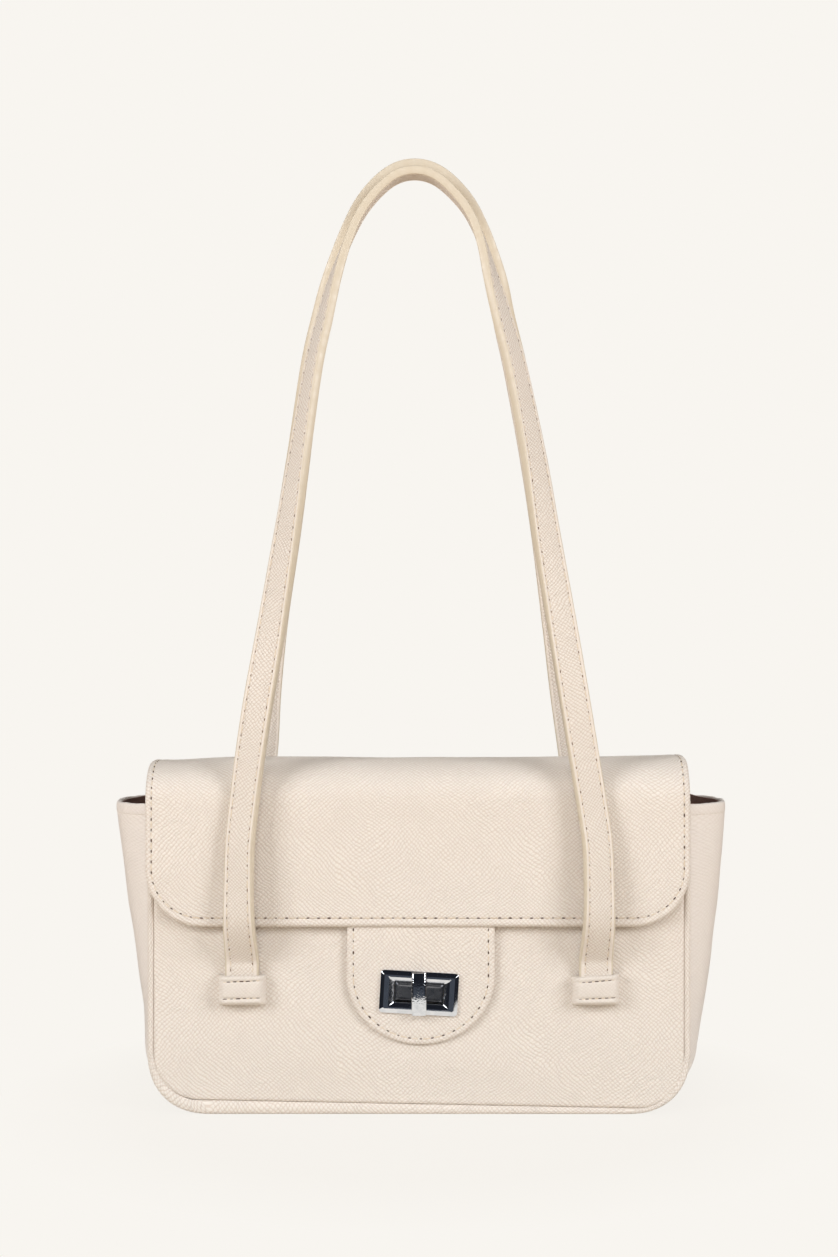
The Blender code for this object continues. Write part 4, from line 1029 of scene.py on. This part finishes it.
def strap_line(climb, bow, left, right):
    """Stations along a front strap, from inside the left keeper over the top to the right one.

    left and right say how far each side of the real loop departs from an even one, in millimetres."""
    half = [(STRAP_X * s + bow * b, -STRAP_TOP_Y - (STRAP_ROOT_Y - STRAP_TOP_Y) * d, CURVE_Z + climb * u, u)
            for s, u, d, b in zip(SPREAD_SHARES, RISE_SHARES, DEPTH_SHARES, BOW_SHARES)]
    marks = [(0.001 * k - x, y, z, u) for (x, y, z, u), k in zip(half, left)]
    marks += [(0.001 * k + x, y, z, u) for (x, y, z, u), k in reversed(list(zip(half, right))[:-1])]
    knots = [Vector((x - 0.0022 * u * u, y, z)) for x, y, z, u in marks]
    ends = [2 * knots[0] - knots[1], *knots, 2 * knots[-1] - knots[-2]]
    curve = []
    for a, b, c, d in zip(ends, ends[1:], ends[2:], ends[3:]):
        for t in (k / 9 for k in range(9)):
            curve.append(0.5 * (2 * b + (c - a) * t + (2 * a - 5 * b + 4 * c - d) * t * t
                                + (3 * b - a - 3 * c + d) * t ** 3))
    curve.append(knots[-1])
    foot = [Vector((0.0, 0.0, drop)) for drop in (0.0190, 0.0150, 0.0110, 0.0075, 0.0045, 0.0020)]
    curve = [*[curve[0] - f for f in foot], *curve, *[curve[-1] - f for f in reversed(foot)]]
    stations = []
    for i, point in enumerate(curve):
        along = (curve[min(i + 2, len(curve) - 1)] - curve[max(i - 2, 0)]).normalized()
        outward = along.cross(Vector((0.0, 1.0, 0.0))).normalized()
        forward = along.cross(outward)
        up = (point.z - CURVE_Z) / climb
        turn = math.radians(float(np.interp(up, *zip(*TURNS))))
        turn -= math.copysign(math.radians(5.0) * math.sin(2.0 * turn), point.x)
        face = forward * math.cos(turn) + outward * math.sin(turn)
        stations.append((point, along.cross(face), face, 1.0 - held(up / 0.08)))
    return stations


def strap_face(a):
    """Half the strap's thickness at a distance from its middle: crowned, with two stitch grooves."""
    d = STRAP_HALF - abs(a)
    out = 0.0021 - 0.00048 * (1.0 - rolled(d, 0.0008)) + 0.00006 * ridge(d, 0.0012, 0.0006)
    return out - 0.00026 * ridge(d, 0.0019, 0.0004) + 0.00013 * ridge(a, 0.0, 0.0030)


across = [STRAP_HALF - e * 1e-5 for e in (0, 12, 35, 58, 100, 130, 155, 170, 190, 210, 230, 270, 360, 500)]
across = [*[-a for a in across], 0.0, *reversed(across)]
section = [(a, strap_face(a)) for a in across] + [(a, -strap_face(a)) for a in reversed(across)]
slots = []
for (a, _), (b, _) in zip(section, section[1:] + section[:1]):
    nearer = min(abs(a), abs(b))
    slots.append(1 if nearer > 0.0066 else 2 if nearer > 0.0056 else 0)

for word, sign, climb, bow, left, right in (("front", -1, 0.3860, 0.0, FRONT_LEFT, FRONT_RIGHT),
                                            ("rear", 1, 0.3937, 0.0040, REAR_LEFT, REAR_RIGHT)):
    stations = strap_line(climb, bow, left, right)
    if sign > 0:
        flip = Vector((1.0, -1.0, 1.0))
        stations = [(o * flip, s * flip, f * flip, w) for o, s, f, w in stations]
    rings, lay, sewn = [], [], [[], []]
    for (origin, side, face, flare), run in zip(stations, lengths([station[0] for station in stations])):
        ring = []
        for a, b in section:
            wide = abs(a) + 0.45 * flare * max(abs(a) - STRAP_SEAM, 0.0)
            ring.append(origin + side * math.copysign(wide, a) + face * b)
        rings.append(ring)
        lay.append([(a, run) for a, b in section])
        if origin.z > STRAP_SEAM_FOOT:
            for n, a in enumerate((-STRAP_SEAM, STRAP_SEAM)):
                sewn[n].append(origin + side * a + face * (strap_face(a) + LIFT / 2))
    strap = ring_piece(word + "_strap_leather", rings, lay, [strap_cream, painted, margin], slots=slots)
    rows = stitches(word + "_strap_stitches", sewn, 0.0058, hole=0.00027, hole_length=0.00066,
                    mouth=faint_hole_shade)
    body = word + "_strap"
    for piece in (strap, rows):
        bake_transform(piece)
    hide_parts(body + "_outer", body + "_backing", word + "_left_strap_end",
                word + "_right_strap_end")


# Keepers: a thick leather cap over each strap's end, sewn to the panel by two short rows that
# pull it down into grooves, so that its two rims stand proud.
KEEPER_HALF = 0.0113
KEEPER_HEIGHT = 0.0146
KEEPER_FOOT = 0.0535
KEEPER_PLANE = 0.0343
KEEPER_ROWS = (0.0040, 0.0122)
keeper_cream = leather("keeper_leather", (0.765, 0.71, 0.65), (0.60, 0.51, 0.43), (0.75, 0.685, 0.615), 0.25,
                       size=0.0017, height=0.00015)


def keeper_depth(x, z):
    """How far a keeper's face stands off the panel, x from its middle and z from its foot."""
    side, foot = rolled(KEEPER_HALF - abs(x), 0.0034), rolled(z, 0.0028)
    full = 0.0070 * side ** 0.8 * foot * (0.86 + 0.14 * rolled(KEEPER_HEIGHT - z, 0.0013))
    swell = 0.00025 * ridge(z, 0.0081, 0.0026) + 0.0003 * ridge(z, 0.0020, 0.0012)
    swell += 0.00015 * soft(x, z, 0.006, 61.0) - 0.00055 * sum(ridge(z, row, 0.00055) for row in KEEPER_ROWS)
    return full + rolled(0.0100 - abs(x), 0.0030) * swell


def keeper_pocket(x, z):
    """The depth of a keeper's hollow, open at the top, where the strap's end goes in."""
    return -0.0001 if z < 0.0030 else 0.0046 * held((0.0082 - abs(x)) / 0.0003) - 0.0001


sewn = []
heights = [z * 1e-5 for z in (0, 5, 20, 50, 90, 140, 200, 260, 310, 350, 380, 400, 420, 450, 500, 580, 700,
                              840, 980, 1080, 1140, 1180, 1200, 1220, 1240, 1270, 1320, 1370, 1410, 1440,
                              1460)]
for end, sign in (("front", -1), ("rear", 1)):
    for word, middle, lean in (("left", -STRAP_X, 1.2), ("right", STRAP_X, 4.5)):
        keeper = sheet_piece(
            f"{end}_{word}_keeper_cap", [[(x, z) for x in bowed(KEEPER_HALF, 44)] for z in heights],
            lambda x, z: (middle + x, sign * (KEEPER_PLANE + keeper_depth(x, z)),
                          KEEPER_FOOT + z + lean * x * z),
            lambda x, z: (middle + x * 0.999, sign * (KEEPER_PLANE + keeper_pocket(x, z)),
                          KEEPER_FOOT + max(z, 0.00002) + lean * x * z), keeper_cream, joined=False)
        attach(keeper, "body")
        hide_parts(f"{end}_{word}_keeper")
        for z in KEEPER_ROWS:
            sewn.append([(middle + x, sign * (KEEPER_PLANE + keeper_depth(x, z) + 0.00005),
                          KEEPER_FOOT + z + lean * x * z + 0.04 * x)
                         for x in (0.0156 * k / 12 - 0.0078 for k in range(13))])
keeper_rows = stitches("keeper_stitches", sewn, 0.0031, hole=0.00027, hole_length=0.0012)
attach(keeper_rows, "body")


# Flap and tab stitching: one row inside the padded rim, down each side and along the bottom,
# and one row across the back where the flap is sewn to the back panel.
ROW_TOP = 0.0160
BACK_ROW = 0.0038
TAB_ROW_TOP = 0.0900
row = []
for k in range(121):
    v = ROW_TOP + (FLAP_RUN - FLAP_CORNER - ROW_TOP) * k / 120
    row.append((FLAP_STITCH - flap_half(v), v))
for k in range(1, 31):
    cs, sn = math.cos(quarter(k, 30)), math.sin(quarter(k, 30))
    inset = flap_inset(FLAP_CORNER * (1.0 - sn))
    row.append((-FLAP_FLAT - (FLAP_CORNER - inset) * cs, FLAP_RUN - FLAP_CORNER + (FLAP_CORNER - inset) * sn))
row += [(FLAP_FLAT * (k / 40 - 1.0), FLAP_RUN - inset) for k in range(1, 41)]
row += [(-x, v) for x, v in reversed(row[:-1])]
back_row = [(0.251 * (k / 100 - 0.5), BACK_ROW) for k in range(101)]
flap_rows = stitches("flap_stitches", [[flap_point(x, v, LIFT) for x, v in line] for line in (row, back_row)],
                     0.0051)
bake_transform(flap_rows)

row_half = TAB_HALF - TAB_STITCH
row = [(TAB_X - row_half, TAB_ROW_TOP - (TAB_ROW_TOP - TAB_CURVE_Z) * k / 20) for k in range(20)]
row += [(TAB_X - row_half * math.cos(a), TAB_CURVE_Z - (TAB_DROP - 0.0028) * math.sin(a))
        for a in (math.radians(180.0) * k / 90 for k in range(91))]
row += [(TAB_X + row_half, TAB_CURVE_Z + (TAB_ROW_TOP - TAB_CURVE_Z) * k / 20) for k in range(1, 21)]
tab_rows = stitches("tab_stitches", [[(x, -tab_depth(x, z) - LIFT, z) for x, z in row]], 0.0055)
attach(tab_rows, "flap")
